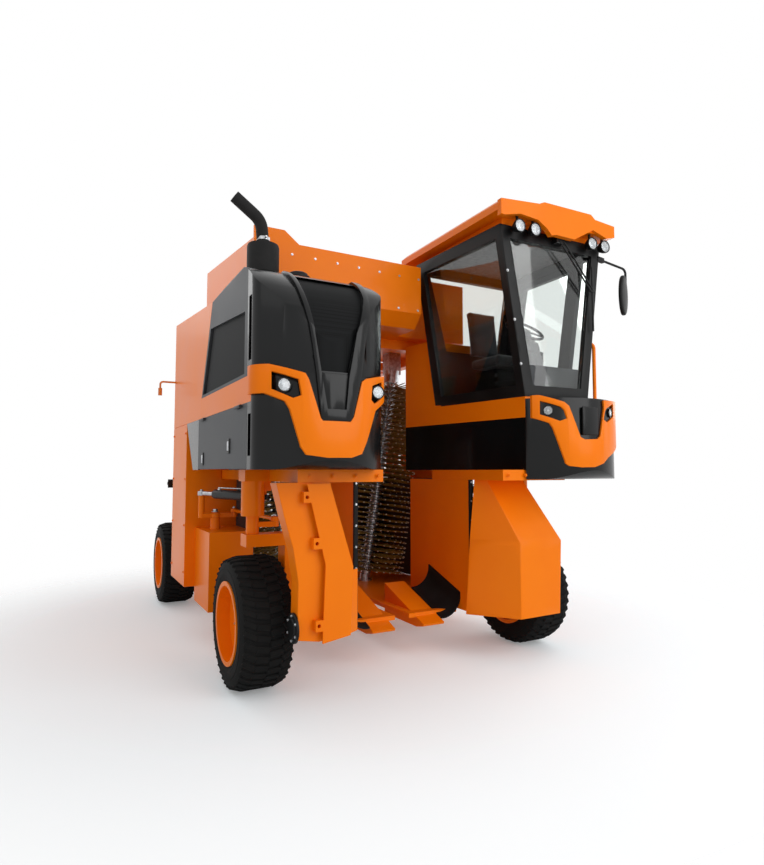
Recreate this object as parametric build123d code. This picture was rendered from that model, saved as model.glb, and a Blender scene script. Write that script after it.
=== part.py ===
"""Coffee harvester that straddles one row of bushes: sizes in millimetres.

X runs to the machine's left, Y to its rear and Z up. The layout below is drawn
about the middle of the row tunnel, and export moves it to the middle of the box.
"""

import math
import os

from build123d import *

# Row tunnel and wheels
WHEEL_X = 1350
WHEEL_Y = 1720
AXLE_Z = 525
TYRE_R = 500
TYRE_W = 400
LUG_H = 26
LUG_T = 46
LUG_TILT = 22
LUGS = 18
BEAD_R = 290
FLANGE_R = 312
FLANGE_T = 12
BARREL_T = 12
DISC_X = 40
DISC_T = 16
HUB_R = 100
HUB_BORE = 58
PIN_GAP = 0.5
MOVE_GAP = 5

# Shaker rotors
ROTOR = (480, -70, 500)
ROTOR_LEAN = 8.5
ROTOR_LEN = 2250
ROTOR_HUB = 55
TINE_R = 440
TINE_W = 12
LAYERS = 20
TINES = 12
STUB = (20, 30)
HEAD_ROOM = 275

# Reach of the widest pieces, which set the middle of the box
MARKER_REACH = 1780
MIRROR_REACH = 2130
REAR_REACH = 2780

# Main frame
ELEVATOR_DEPTH = 480
BEAM_X = (1130, 1250)
BEAM_Z = (1600, 1690)
BEAM_REAR = REAR_REACH - ELEVATOR_DEPTH
BEAM_FRONT = -2450
PORTALS = (-700, 560, BEAM_REAR - 100)
POST_T = 120
ROTOR_TOP = ROTOR[2] + ROTOR_LEN * math.cos(math.radians(ROTOR_LEAN))
ARCH_Z = (round(ROTOR_TOP) + HEAD_ROOM, round(ROTOR_TOP) + HEAD_ROOM + 100)
WALL_X = 570
SHEET = 12

# Bodywork
SIDE_X = 1600
SKIN = 20
STRIPE_Z = (2140, 2320)
POD_IN = 640
POD_FRONT = -2760
POD_CORNER = -2540
POD_REAR = -950
CASE_Y = (-290, 450)
CASE_Z0 = 560
HOPPER_X = 1275
HOPPER_WALL = 30
CAB_TOP = 3800
CAB_WALL = 60


def block(x, y, z):
    """A box between two values on each axis."""
    (x0, x1), (y0, y1), (z0, z1) = sorted(x), sorted(y), sorted(z)
    return Pos((x0 + x1) / 2, (y0 + y1) / 2, (z0 + z1) / 2) * Box(x1 - x0, y1 - y0, z1 - z0)


def prism_x(points, x0, x1):
    """A (y, z) outline pushed along X."""
    face = make_face(Polyline(*[(min(x0, x1), y, z) for y, z in points], close=True))
    return extrude(face, amount=abs(x1 - x0), dir=(1, 0, 0))


def prism_y(points, y0, y1):
    """An (x, z) outline pushed along Y."""
    face = make_face(Polyline(*[(x, min(y0, y1), z) for x, z in points], close=True))
    return extrude(face, amount=abs(y1 - y0), dir=(0, 1, 0))


def prism_z(points, z0, z1):
    """An (x, y) outline pushed upward."""
    face = make_face(Polyline(*[(x, y, min(z0, z1)) for x, y in points], close=True))
    return extrude(face, amount=abs(z1 - z0), dir=(0, 0, 1))


def rod(start, end, radius):
    """A round bar between two points."""
    a, b = Vector(*start), Vector(*end)
    return extrude(Plane(a, z_dir=b - a) * Circle(radius), amount=(b - a).length)


def pipe(points, radius, bend):
    """A round tube along a path with rounded corners."""
    path = FilletPolyline(*points, radius=bend)
    return sweep(Plane(path @ 0, z_dir=path % 0) * Circle(radius), path)


def spun(points):
    """An (x, r) outline turned about the X axis."""
    face = make_face(Polyline(*[(x, 0, r) for x, r in points], close=True))
    return revolve(face, Axis.X)


def arc_plan(left, middle, right, back, corner, z0, z1):
    """A plan with a curved front and rounded front corners, pushed upward."""
    arc = ThreePointArc((*left, z0), (*middle, z0), (*right, z0))
    sides = Polyline((*right, z0), *[(x, y, z0) for x, y in back], (*left, z0))
    face = make_face(Wire([*arc.edges(), *sides.edges()]))
    if corner:
        ends = [v for v in face.vertices() if min(math.dist((v.X, v.Y), p) for p in (left, right)) < 1]
        face = fillet(ends, corner)
    return extrude(face, amount=z1 - z0, dir=(0, 0, 1))


def arched_x(points, through, x0, x1):
    """A (y, z) outline pushed along X, closed by an arc through one more point."""
    runs = Polyline(*[(x0, y, z) for y, z in points])
    bow = ThreePointArc((x0, *points[-1]), (x0, *through), (x0, *points[0]))
    return extrude(make_face(Wire([*runs.edges(), *bow.edges()])), amount=x1 - x0, dir=(1, 0, 0))


def other_side(shape):
    """The same piece on the other side of the tunnel."""
    return mirror(shape, about=Plane.YZ)


def both(shape):
    return [shape, other_side(shape)]


nodes = {}


# Wheels, drawn with the outer face toward +X
def tyre_form():
    half = TYRE_W / 2
    bead = half - FLANGE_T
    tread = TYRE_R - LUG_H
    carcass = spun([
        (-bead, BEAD_R), (bead, BEAD_R), (bead, FLANGE_R), (half, FLANGE_R + 50),
        (half, tread - 80), (half - 20, tread - 25), (half - 60, tread),
        (60 - half, tread), (20 - half, tread - 25), (-half, tread - 80),
        (-half, FLANGE_R + 50), (-bead, FLANGE_R),
    ])
    outer = spun([
        (half, tread - 90), (half, TYRE_R - 90), (half - 28, TYRE_R - 22), (half - 70, TYRE_R),
        (70 - half, TYRE_R), (28 - half, TYRE_R - 22), (-half, TYRE_R - 90), (-half, tread - 90),
    ])
    bars = []
    for i in range(LUGS):
        for side in (1, -1):
            bar = Rot(0, 0, side * LUG_TILT) * Box(half + 20, LUG_T, 110)
            bar = Pos(side * half / 2, 0, TYRE_R - 45) * bar
            bars.append(Rot(360 * (i + side / 4) / LUGS, 0, 0) * bar & outer)
    return carcass + bars


def rim_form():
    bead = TYRE_W / 2 - FLANGE_T
    inner = BEAD_R - BARREL_T
    barrel = spun([
        (-bead - FLANGE_T, inner), (-bead - FLANGE_T, FLANGE_R), (-bead, FLANGE_R), (-bead, BEAD_R),
        (bead, BEAD_R), (bead, FLANGE_R), (bead + FLANGE_T, FLANGE_R), (bead + FLANGE_T, inner),
    ])
    dish = spun([
        (DISC_X, HUB_R - 10), (DISC_X, 200), (DISC_X + 40, inner + 1),
        (DISC_X + 40 + DISC_T, inner + 1), (DISC_X + DISC_T, 200), (DISC_X + DISC_T, HUB_R - 10),
    ])
    cap = [(90, HUB_R), (104, HUB_R - 25), (104, 0), (55, 0), (55, HUB_BORE)]
    hub = spun([(-60, HUB_BORE), (-60, HUB_R), *cap])
    return barrel + dish + hub


SPINDLE_END = 50
CORNERS = (("front_left", 1, -1), ("front_right", -1, -1), ("rear_left", 1, 1), ("rear_right", -1, 1))
wheel_forms = (("tyre", tyre_form()), ("rim", rim_form()))
for corner, side, end in CORNERS:
    for name, form in wheel_forms:
        turned = form if side > 0 else other_side(form)
        nodes[f"{name}_{corner}"] = Pos(side * WHEEL_X, end * WHEEL_Y, AXLE_Z) * turned

# Knuckles and rear legs
LEG_X = (1050, 1110)
ARM_Z = (1095, 1190)
KING_R = 50
KING_TOP = 1540
LINK_Z = (1240, 1280)
ARM_REACH = 180
PIN_R = 12
EYE_R = 34
EYE_T = 36
HOUSING_R = 90
HOUSING_Z = 1330
spindle = rod((LEG_X[0], WHEEL_Y, AXLE_Z), (WHEEL_X + SPINDLE_END, WHEEL_Y, AXLE_Z), HUB_BORE - PIN_GAP)
knuckle = block(LEG_X, (WHEEL_Y - 80, WHEEL_Y + 80), (AXLE_Z, ARM_Z[1]))
knuckle += rod((LEG_X[0], WHEEL_Y, AXLE_Z), (LEG_X[1], WHEEL_Y, AXLE_Z), 130)
knuckle += block((LEG_X[0], WHEEL_X + 70), (WHEEL_Y - 80, WHEEL_Y + 80), ARM_Z)
knuckle += rod((WHEEL_X, WHEEL_Y, ARM_Z[1]), (WHEEL_X, WHEEL_Y, KING_TOP), KING_R)
knuckle += block((WHEEL_X - ARM_REACH, WHEEL_X), (WHEEL_Y - 30, WHEEL_Y + 30), LINK_Z)
knuckle += rod((WHEEL_X - ARM_REACH, WHEEL_Y, LINK_Z[0]), (WHEEL_X - ARM_REACH, WHEEL_Y, LINK_Z[1]), EYE_R)
link_pin = rod((0, 0, LINK_Z[1]), (0, 0, LINK_Z[1] + EYE_T + 8), PIN_R)
knuckle += Pos(WHEEL_X - ARM_REACH, WHEEL_Y, 0) * link_pin
knuckle = mirror(knuckle + spindle, about=Plane.XZ)
nodes["knuckle_left"] = knuckle
nodes["knuckle_right"] = other_side(knuckle)

rear_leg = block((1040, LEG_X[1]), (WHEEL_Y - 120, WHEEL_Y + 120), (AXLE_Z, BEAM_Z[0]))
rear_leg += rod((1040, WHEEL_Y, AXLE_Z), (LEG_X[1], WHEEL_Y, AXLE_Z), 130)
rear_leg += block((1040, BEAM_X[1]), (WHEEL_Y - 120, WHEEL_Y + 120), (1480, BEAM_Z[0]))
TIE_R = 20
TIE_T = 30
TIE_AT = (1075, WHEEL_Y + 200, 640)
lug = block((1040, LEG_X[1]), (WHEEL_Y + 120, TIE_AT[1]), (TIE_AT[2], TIE_AT[2] + TIE_T))
lug += rod(TIE_AT, (*TIE_AT[:2], TIE_AT[2] + TIE_T), 60)
lug -= rod(TIE_AT, (*TIE_AT[:2], TIE_AT[2] + TIE_T), TIE_R)
nodes["rear_legs"] = both(rear_leg + spindle + lug)

# Main frame: two side beams joined above the row by three portals
frame = None
for side in (1, -1):
    x0, x1 = BEAM_X
    edge = block((side * x0, side * x1), (BEAM_FRONT, BEAM_REAR), BEAM_Z)
    edge += block((side * x0, side * x1), (PORTALS[0] - 60, PORTALS[2] + 60), ARCH_Z)
    for y in PORTALS:
        edge += block((side * x0, side * x1), (y - POST_T / 2, y + POST_T / 2), (BEAM_Z[1], ARCH_Z[0]))
    edge += block((side * x1, side * (WHEEL_X + HOUSING_R)), (-WHEEL_Y - 90, -WHEEL_Y + 90), BEAM_Z)
    edge += rod((side * WHEEL_X, -WHEEL_Y, HOUSING_Z), (side * WHEEL_X, -WHEEL_Y, BEAM_Z[0]), HOUSING_R)
    pin = (side * WHEEL_X, -WHEEL_Y)
    edge -= rod((*pin, HOUSING_Z), (*pin, KING_TOP + 5), KING_R + PIN_GAP)
    for y in (640, 2160):
        edge += block((side * WALL_X, side * x0), (y, y + 80), BEAM_Z)
    edge += block((side * WALL_X, side * x0), (-2430, -1350), BEAM_Z)
    frame = edge if frame is None else frame + edge
for y in PORTALS:
    frame += block((-BEAM_X[1], BEAM_X[1]), (y - POST_T / 2, y + POST_T / 2), ARCH_Z)

# Steering boxes, bell cranks, drag links and cylinders
BOX_X = (1100, 1500)
BOX_Y = (-900, CASE_Y[0])
BOX_Z = (430, 1130)
CRANK = (1370, -550)
POST_REACH = 130
RAM_Z = 1470
RAM_FOOT = (1220, -1620)
RAM_R = 42
RAM_ROD_R = 20
box = block(BOX_X, BOX_Y, BOX_Z)
box += rod((*CRANK, BOX_Z[1]), (*CRANK, LINK_Z[0] - 2), 45)
box += rod((*CRANK, BOX_Z[1]), (*CRANK, LINK_Z[1] + 12), 20)
nodes["steering_boxes"] = both(box)
crank = block((CRANK[0] - ARM_REACH, CRANK[0] + POST_REACH), (CRANK[1] - 30, CRANK[1] + 30), LINK_Z)
crank += rod((*CRANK, LINK_Z[0]), (*CRANK, LINK_Z[1]), 48)
crank += rod((CRANK[0] - ARM_REACH, CRANK[1], LINK_Z[0]), (CRANK[0] - ARM_REACH, CRANK[1], LINK_Z[1]), EYE_R)
crank += rod((CRANK[0] + POST_REACH, CRANK[1], LINK_Z[0]), (CRANK[0] + POST_REACH, CRANK[1], RAM_Z - 24), 28)
crank -= rod((*CRANK, LINK_Z[0]), (*CRANK, LINK_Z[1]), 20 + PIN_GAP)
crank += Pos(CRANK[0] - ARM_REACH, CRANK[1], 0) * link_pin
nodes["bell_crank_left"] = crank
nodes["bell_crank_right"] = other_side(crank)
link_low = LINK_Z[1] + 1
link_ends = ((WHEEL_X - ARM_REACH, -WHEEL_Y), (CRANK[0] - ARM_REACH, CRANK[1]))
link = rod((*link_ends[0], link_low + EYE_T / 2), (*link_ends[1], link_low + EYE_T / 2), 16)
for end in link_ends:
    link += rod((*end, link_low), (*end, link_low + EYE_T), EYE_R)
for end in link_ends:
    link -= rod((*end, link_low), (*end, link_low + EYE_T), PIN_R + PIN_GAP)
nodes["drag_link_left"] = link
nodes["drag_link_right"] = other_side(link)

ram_eye = (CRANK[0] + POST_REACH, CRANK[1])
ram_len = math.dist(RAM_FOOT, ram_eye)
along = ((ram_eye[0] - RAM_FOOT[0]) / ram_len, (ram_eye[1] - RAM_FOOT[1]) / ram_len)


def on_ram(share):
    """A point on the cylinder's line, at a distance from its foot."""
    return (RAM_FOOT[0] + along[0] * share, RAM_FOOT[1] + along[1] * share, RAM_Z)


RAM_BODY = (60, 830)
barrel = rod(on_ram(RAM_BODY[0]), on_ram(RAM_BODY[1]), RAM_R) + rod(on_ram(0), on_ram(RAM_BODY[0]), 24)
barrel += rod((*RAM_FOOT, RAM_Z - 20), (*RAM_FOOT, RAM_Z + 20), 38)
barrel -= rod((*RAM_FOOT, RAM_Z - 40), (*RAM_FOOT, RAM_Z + 40), 14 + PIN_GAP)
barrel -= rod(on_ram(400), on_ram(RAM_BODY[1]), RAM_ROD_R + PIN_GAP)
nodes["steering_barrel_left"] = barrel
nodes["steering_barrel_right"] = other_side(barrel)
ram_rod = rod(on_ram(560), on_ram(ram_len), RAM_ROD_R)
ram_rod += rod((*ram_eye, RAM_Z - 19), (*ram_eye, RAM_Z + 19), 36)
nodes["steering_rod_left"] = ram_rod
nodes["steering_rod_right"] = other_side(ram_rod)
foot = rod((*RAM_FOOT, RAM_Z - 22), (*RAM_FOOT, BEAM_Z[0]), 14)
foot += block((RAM_FOOT[0] - 40, BEAM_X[1]), (RAM_FOOT[1] - 40, RAM_FOOT[1] + 40), (RAM_Z + 50, BEAM_Z[0]))
frame += foot
frame += other_side(foot)
nodes["main_frame"] = frame

# Side cases behind the front wheels
case = block((BEAM_X[1], SIDE_X), CASE_Y, (CASE_Z0, STRIPE_Z[0]))
case += block((BOX_X[0], BEAM_X[1]), CASE_Y, (CASE_Z0, BEAM_Z[0]))
nodes["side_cases"] = both(case)

# Front leg on the right, with its bolted guard and pivot cap
LEG_Y = (-2440, -2300)
GUARD_Y = -2480
leg_outline = [
    (-1400, BEAM_Z[0]), (-1000, BEAM_Z[0]), (-850, 1005), (-865, 515), (-1080, 500), (-1240, 527),
    (-1234, 919), (-1273, 1146), (-1335, 1350),
]
nodes["front_leg"] = prism_y(leg_outline, *LEG_Y)
guard_edge = [(-1196, 1590), (-1054, 1032), (-1074, 498)]
guard = prism_y([*guard_edge, (-862, 531), (-844, 1008), (-1024, 1590)], GUARD_Y - SHEET, GUARD_Y)
guard += prism_z([(-862, GUARD_Y - SHEET), (-862, GUARD_Y), (-800, LEG_Y[0]), (-785, LEG_Y[0])], 545, 980)
for x, z in ((-1160, 1500), (-1085, 1180), (-1066, 620)):
    ear = block((x - 60, x + 10), (GUARD_Y - SHEET, LEG_Y[0]), (z - 38, z + 38))
    guard += ear - rod((x - 34, GUARD_Y - 40, z), (x - 34, LEG_Y[0], z), 13)
nodes["leg_guard"] = guard
cap_at = (LEG_Y[0] + 60, 600)
nodes["leg_cap"] = rod((-1210, *cap_at), (-1272, *cap_at), 105) - nodes["front_leg"] - guard

# Faceted cover ahead of the left front wheel
cover_rows = (
    (420, [(500, -1990), (800, -2370), (1265, -2350), (1265, -2295), (835, -2310), (540, -1955)]),
    (1060, [(540, -2000), (800, -2370), (1291, -2350), (1291, -2295), (835, -2310), (575, -1965)]),
    (BEAM_Z[0], [(590, -2010), (660, -2100), (1070, -2100), (1070, -2050), (680, -2050), (625, -1975)]),
)
sections = [make_face(Polyline(*[(x, y, z) for x, y in row], close=True)) for z, row in cover_rows]
cover = loft([sections[0], sections[1]], ruled=True) + loft([sections[1], sections[2]], ruled=True)
nodes["wheel_cover"] = cover

# Row tunnel: side walls, collector trays, skid noses and rubber strips
walls = []
for y0, y1 in ((-1960, -930), (640, 2240)):
    walls += both(block((WALL_X, WALL_X + SHEET), (y0, y1), (420, BEAM_Z[0])))
nodes["tunnel_walls"] = walls
TRAY_Z = (380, 420)
tray = block((70, WALL_X + SHEET), (-1730, 1900), TRAY_Z)
tray += block((70, BOX_X[0]), (-900, 640), TRAY_Z)
NOSE_X = (140, 360)
skid = [(-1150, 590), (-1860, 345), (-1850, 325), (-1740, 300), (-1150, 300)]
tray += prism_x(skid, *NOSE_X)
nodes["collector_trays"] = both(tray)

# Rubber: a curved apron from each wall down to its skid nose, and an edge strip
APRON_Y = -1290
APRON_RUN = (0, -520, -182)
apron_low = 590 + (APRON_Y + 1150) * 245 / 710
bows = [(360, apron_low), (505, apron_low + 45), (WALL_X, apron_low + 215)]
under = [(WALL_X - 12, apron_low + 215), (497, apron_low + 57), (360, apron_low + 12)]
outer_bow = ThreePointArc(*[(x, APRON_Y, z) for x, z in bows])
inner_bow = ThreePointArc(*[(x, APRON_Y, z) for x, z in under])
ends = [Line(outer_bow @ 1, inner_bow @ 0), Line(inner_bow @ 1, outer_bow @ 0)]
apron_face = make_face(Wire([*outer_bow.edges(), *ends[0].edges(), *inner_bow.edges(), *ends[1].edges()]))
apron = extrude(apron_face, amount=math.hypot(*APRON_RUN), dir=APRON_RUN) - tray
apron -= block((WALL_X, WALL_X + 300), (-2400, -900), (300, 900))
strip = block((WALL_X - 10, WALL_X + 22), (-1985, -1960), (430, BEAM_Z[0]))
nodes["rubber_aprons"] = [*both(apron), other_side(strip), *(strip - cover).solids()]

# Shaker rotors, which lean outward at the top
def rotor_place(shape):
    return Pos(*ROTOR) * Rot(0, ROTOR_LEAN, 0) * shape


def tine_layer(turn):
    star = Sketch() + Circle(ROTOR_HUB + 25)
    for i in range(TINES):
        star += Rot(0, 0, turn + 360 * i / TINES) * Pos(TINE_R / 2, 0) * Rectangle(TINE_R, TINE_W)
    return extrude(star, amount=TINE_W)


rotor = Cylinder(ROTOR_HUB, ROTOR_LEN, align=(Align.CENTER, Align.CENTER, Align.MIN))
for i in range(LAYERS):
    rotor += Pos(0, 0, 70 + i * (ROTOR_LEN - 140) / (LAYERS - 1)) * tine_layer(180 / TINES * (i % 2))
rotor += Pos(0, 0, -50) * Cylinder(STUB[0], 55, align=(Align.CENTER, Align.CENTER, Align.MIN))
rotor += Pos(0, 0, ROTOR_LEN - 5) * Cylinder(STUB[1], 75, align=(Align.CENTER, Align.CENTER, Align.MIN))
nodes["shaker_left"] = rotor_place(rotor)
nodes["shaker_right"] = other_side(nodes["shaker_left"])
stand = rotor_place(Pos(0, 0, -75) * Cylinder(60, 65, align=(Align.CENTER, Align.CENTER, Align.MIN)))
stand += rod((ROTOR[0] - 10, ROTOR[1], TRAY_Z[1]), (ROTOR[0] - 10, ROTOR[1], 440), 80)
UPRIGHT = (Align.CENTER, Align.CENTER, Align.MIN)
stand -= rotor_place(Pos(0, 0, -55) * Cylinder(STUB[0] + PIN_GAP, 60, align=UPRIGHT))
stand -= block((0, 1000), (-500, 400), (300, TRAY_Z[1]))
head = rotor_place(Pos(0, 0, ROTOR_LEN + 6) * Cylinder(95, 160, align=UPRIGHT))
head_x = ROTOR[0] + (ROTOR_LEN + 120) * math.sin(math.radians(ROTOR_LEAN))
head += block((head_x - 80, head_x + 80), (ROTOR[1] - 80, ROTOR[1] + 80), (ROTOR_TOP + 115, ARCH_Z[1]))
head -= rotor_place(Pos(0, 0, ROTOR_LEN) * Cylinder(STUB[1] + PIN_GAP, 75, align=UPRIGHT))
nodes["rotor_bearings"] = [*both(stand), *both(head)]


# Engine pod on the right: one outline in plan, one from the side, one from the front
def pod_plan(inset, z0, z1):
    x0, x1 = -SIDE_X + inset, -POD_IN - inset
    front, corner = POD_FRONT + inset, POD_CORNER + inset
    back = [(x1, POD_REAR), (x0, POD_REAR)]
    return arc_plan((x0, corner), ((x0 + x1) / 2, front), (x1, corner), back, 120 - inset, z0, z1)


HOOD_TOP = ((-1320, 3097), (-2150, 3140))
HOOD_NOSE = (-2570, 2925)
HOOD_ROUND = (90, 230)
BROW_OUT = 4


def hood_body(inset):
    """The hood's form, drawn in by a wall thickness or out by a negative one."""
    z0 = STRIPE_Z[1]
    x0, x1 = -SIDE_X + inset, -POD_IN - inset
    rows = [
        (POD_FRONT + inset, z0), (POD_REAR, z0),
        (HOOD_TOP[0][0], HOOD_TOP[0][1] - inset), (HOOD_TOP[1][0], HOOD_TOP[1][1] - inset),
    ]
    nose = (HOOD_NOSE[0] + 0.7 * inset, HOOD_NOSE[1] - 0.7 * inset)
    side = arched_x(rows, nose, -SIDE_X - 60, -POD_IN + 60)
    top = HOOD_TOP[1][1] + 20 - inset
    wide = (x0 - BROW_OUT, x1 + BROW_OUT)
    corners = [(wide[0], z0), (wide[1], z0), (wide[1], top), (wide[0], top)]
    brow = make_face(Polyline(*[(x, -2900, z) for x, z in corners], close=True))
    for x, radius in zip(wide, HOOD_ROUND):
        brow = fillet([v for v in brow.vertices() if abs(v.X - x) < 1 and abs(v.Z - top) < 1], radius - inset)
    return side & pod_plan(inset, z0, 3300) & extrude(brow, amount=2000, dir=(0, 1, 0))


RAIL_H = 18
TONGUE_H = 8
GRILLE_FRONT = [
    (-1290, 3060), (-1290, 2932), (-1254, 2575), (-1211, 2335),
    (-1012, 2335), (-947, 2612), (-830, 2900), (-790, 3060),
]
RAIL_OUT = [
    (-1330, 3110), (-1318, 2850), (-1301, 2692), (-1272, 2512), (-1245, 2320), (-1211, 2030), (-1199, 2010),
    (-999, 2010), (-976, 2041), (-911, 2293), (-905, 2320), (-857, 2630), (-800, 2850), (-740, 3110),
]
RAIL_IN = [
    (-1295, 3120), (-1290, 2932), (-1254, 2575), (-1209, 2314), (-1168, 2085),
    (-1031, 2085), (-1010, 2302), (-947, 2612), (-830, 2900), (-790, 3120),
]
TONGUE = [(-1245, 2320), (-1211, 2030), (-1199, 2010), (-999, 2010), (-976, 2041), (-911, 2293), (-905, 2320)]
GRILLE_SIDE = [(-1000, 2345), (-1270, 2880), (-2330, 2780), (-2330, 2345)]
GRILLE_WIDE = [(-985, 2330), (-1260, 2900), (-2345, 2800), (-2345, 2330)]
VENTS = (((-2495, -2430), (2420, 2860)), ((-2500, -2435), (1780, 2060)))
EXHAUST = (-1280, -1680)
INTAKE = (-1060, -1900)
PIPE_R = 50
hood_out = hood_body(0)
shell = hood_out - hood_body(SKIN)
window = prism_y(GRILLE_FRONT, POD_FRONT - 50, -2300)
louvre = prism_x(GRILLE_SIDE, -SIDE_X - 50, -SIDE_X + 60)
vents = [block((-SIDE_X - 20, -SIDE_X + 90), y, z) for y, z in VENTS]
hood = shell - window - louvre - vents[0]
for place in (EXHAUST, INTAKE):
    hood -= rod((*place, 2700), (*place, 3300), PIPE_R + MOVE_GAP)
rail_band = prism_y(RAIL_OUT, POD_FRONT - 60, -2250) - prism_y(RAIL_IN, POD_FRONT - 60, -2250)
rails = (hood_body(-RAIL_H) - hood_out) & rail_band
low_z = (1990, STRIPE_Z[1])
rails += (pod_plan(-RAIL_H, *low_z) - pod_plan(0, *low_z)) & rail_band
tongue = (pod_plan(-TONGUE_H, *low_z) - pod_plan(0, *low_z)) & prism_y(TONGUE, POD_FRONT - 60, -2500)
SIDE_PANEL = block((-SIDE_X - 10, -SIDE_X + SKIN), (-2400, POD_REAR), (STRIPE_Z[1], 3200))
nodes["engine_hood"] = [hood - SIDE_PANEL, rails, tongue - rails]
nodes["hood_sides"] = hood & SIDE_PANEL
lining = hood_body(SKIN) - hood_body(2 * SKIN)
wide_front = [
    (-1310, 3050), (-1308, 2932), (-1272, 2575), (-1226, 2322),
    (-997, 2322), (-930, 2612), (-812, 2900), (-775, 3050),
]
meshes = [
    lining & prism_y(wide_front, POD_FRONT, -2300),
    lining & prism_x(GRILLE_WIDE, -SIDE_X - 50, -SIDE_X + 60),
]
meshes.append(lining & block((-SIDE_X, -SIDE_X + 110), (-2505, -2420), (2405, 2875)))

# Black chin round the pod, with the orange band and fascia on it
LAMP_R = 48
CHIN_ARC = [(-2600, BEAM_Z[1]), (-2765, 1760), (POD_FRONT - 40, 1900)]


def chin_body(inset, z0):
    x0, x1 = -SIDE_X - 60, -POD_IN + 60
    start = (CHIN_ARC[0][0] + inset, z0)
    rows = [start, (POD_REAR, z0), (POD_REAR, STRIPE_Z[1]), (CHIN_ARC[2][0] + inset, STRIPE_Z[1])]
    rows.append((CHIN_ARC[2][0] + inset, CHIN_ARC[2][1]))
    side = arched_x(rows, (CHIN_ARC[1][0] + inset, CHIN_ARC[1][1] + inset), x0, x1)
    return side & pod_plan(inset, z0, STRIPE_Z[1])


FASCIA = [
    (-1640, 2372), (-1528, 2372), (-1315, 2313), (-1293, 2274), (-1215, 2023), (-1201, 2006), (-997, 2006),
    (-972, 2041), (-903, 2284), (-865, 2310), (-600, 2375), (-600, 2205), (-766, 2099), (-854, 1884),
    (-901, 1795), (-988, 1768), (-1166, 1766), (-1305, 1784), (-1338, 1834), (-1405, 2078), (-1433, 2129),
    (-1547, 2183), (-1640, 2183),
]
POCKETS = (
    [(-1512, 2325), (-1354, 2273), (-1335, 2169), (-1388, 2149), (-1511, 2208)],
    [(-690, 2312), (-801, 2270), (-812, 2170), (-778, 2146), (-690, 2195)],
)
LAMPS_AT = ((-1439, 2235), (-755, 2227))
chin = chin_body(0, BEAM_Z[1]) - chin_body(SKIN, BEAM_Z[1] - 20)
raised = pod_plan(-SKIN, 1740, 2390) - pod_plan(0, 1740, 2390)
raised &= prism_y(FASCIA, POD_FRONT - 60, -2480)
band = block((-SIDE_X, -SIDE_X + SKIN), (-2500, POD_REAR), STRIPE_Z)
chin -= block((-SIDE_X - 10, -SIDE_X + SKIN), (-2500, POD_REAR + 10), STRIPE_Z)
pod_lamps = []
backs = []
for pocket, (x, z) in zip(POCKETS, LAMPS_AT):
    hole = prism_y(pocket, POD_FRONT - 60, -2560)
    raised -= hole
    chin -= hole
    pocket_z = (z - 120, z + 130)
    inner = pod_plan(SKIN, *pocket_z)
    middle = (sum(p[0] for p in pocket) / 5, sum(p[1] for p in pocket) / 5)
    wide = [(middle[0] + 1.25 * (px - middle[0]), middle[1] + 1.25 * (pz - middle[1])) for px, pz in pocket]
    backs.append((inner - pod_plan(SKIN + 12, *pocket_z)) & prism_y(wide, POD_FRONT - 60, -2500))
    pod_lamps.append(rod((x, -2705, z), (x, -2560, z), LAMP_R) - inner)
nodes["engine_fascia"] = raised + band

# Hinged service door low on the right, with the fixed panel behind it
DOOR_Y = (-2410, -860)
DOOR_TOP = STRIPE_Z[0] - PIN_GAP
door_span = (DOOR_Y[0] - MOVE_GAP, POD_REAR + 10)
door_hole = block((-SIDE_X - 10, -SIDE_X + SKIN), door_span, (BEAM_Z[1] - 5, STRIPE_Z[0]))
chin -= door_hole
chin -= vents[1]
meshes.append(block((-SIDE_X + SKIN, -SIDE_X + SKIN + 10), (-2512, -2428), (1765, 2075)) - chin)
nodes["grilles"] = meshes
HINGE_LINE = (-SIDE_X - 11, STRIPE_Z[0] - 14)
service = block((-SIDE_X, -SIDE_X + SKIN), DOOR_Y, (BEAM_Z[1] + MOVE_GAP, DOOR_TOP))
for y in (-2290, -1130):
    service += rod((HINGE_LINE[0], y, HINGE_LINE[1]), (HINGE_LINE[0], y + 140, HINGE_LINE[1]), 12)
nodes["service_door"] = service
skirt = [
    (DOOR_Y[1] + MOVE_GAP, BEAM_Z[1]), (DOOR_Y[1] + MOVE_GAP, STRIPE_Z[0]),
    (CASE_Y[0], STRIPE_Z[0]), (-620, BEAM_Z[1]),
]
nodes["engine_chin"] = [chin, *backs, prism_x(skirt, -SIDE_X, -SIDE_X + SKIN)]

nodes["engine_block"] = block((-1480, -820), (-2350, -1450), (BEAM_Z[1], 2650))
MUFFLER_Z = (3140, 3530)
stack = rod((*EXHAUST, 2650), (*EXHAUST, MUFFLER_Z[0] + 10), PIPE_R)
stack += rod((*EXHAUST, MUFFLER_Z[0]), (*EXHAUST, MUFFLER_Z[1]), 130)
bend = (EXHAUST[0] - 20, EXHAUST[1], MUFFLER_Z[1] + 195)
tip = (EXHAUST[0] - 245, EXHAUST[1], MUFFLER_Z[1] + 355)
stack += pipe([(*EXHAUST, MUFFLER_Z[1] - 10), bend, tip], PIPE_R, 90)
nodes["exhaust"] = stack
cap = rod((*INTAKE, 2650), (*INTAKE, 3210), 45) + rod((*INTAKE, 3200), (*INTAKE, 3270), 100)
nodes["air_intake"] = cap

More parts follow.
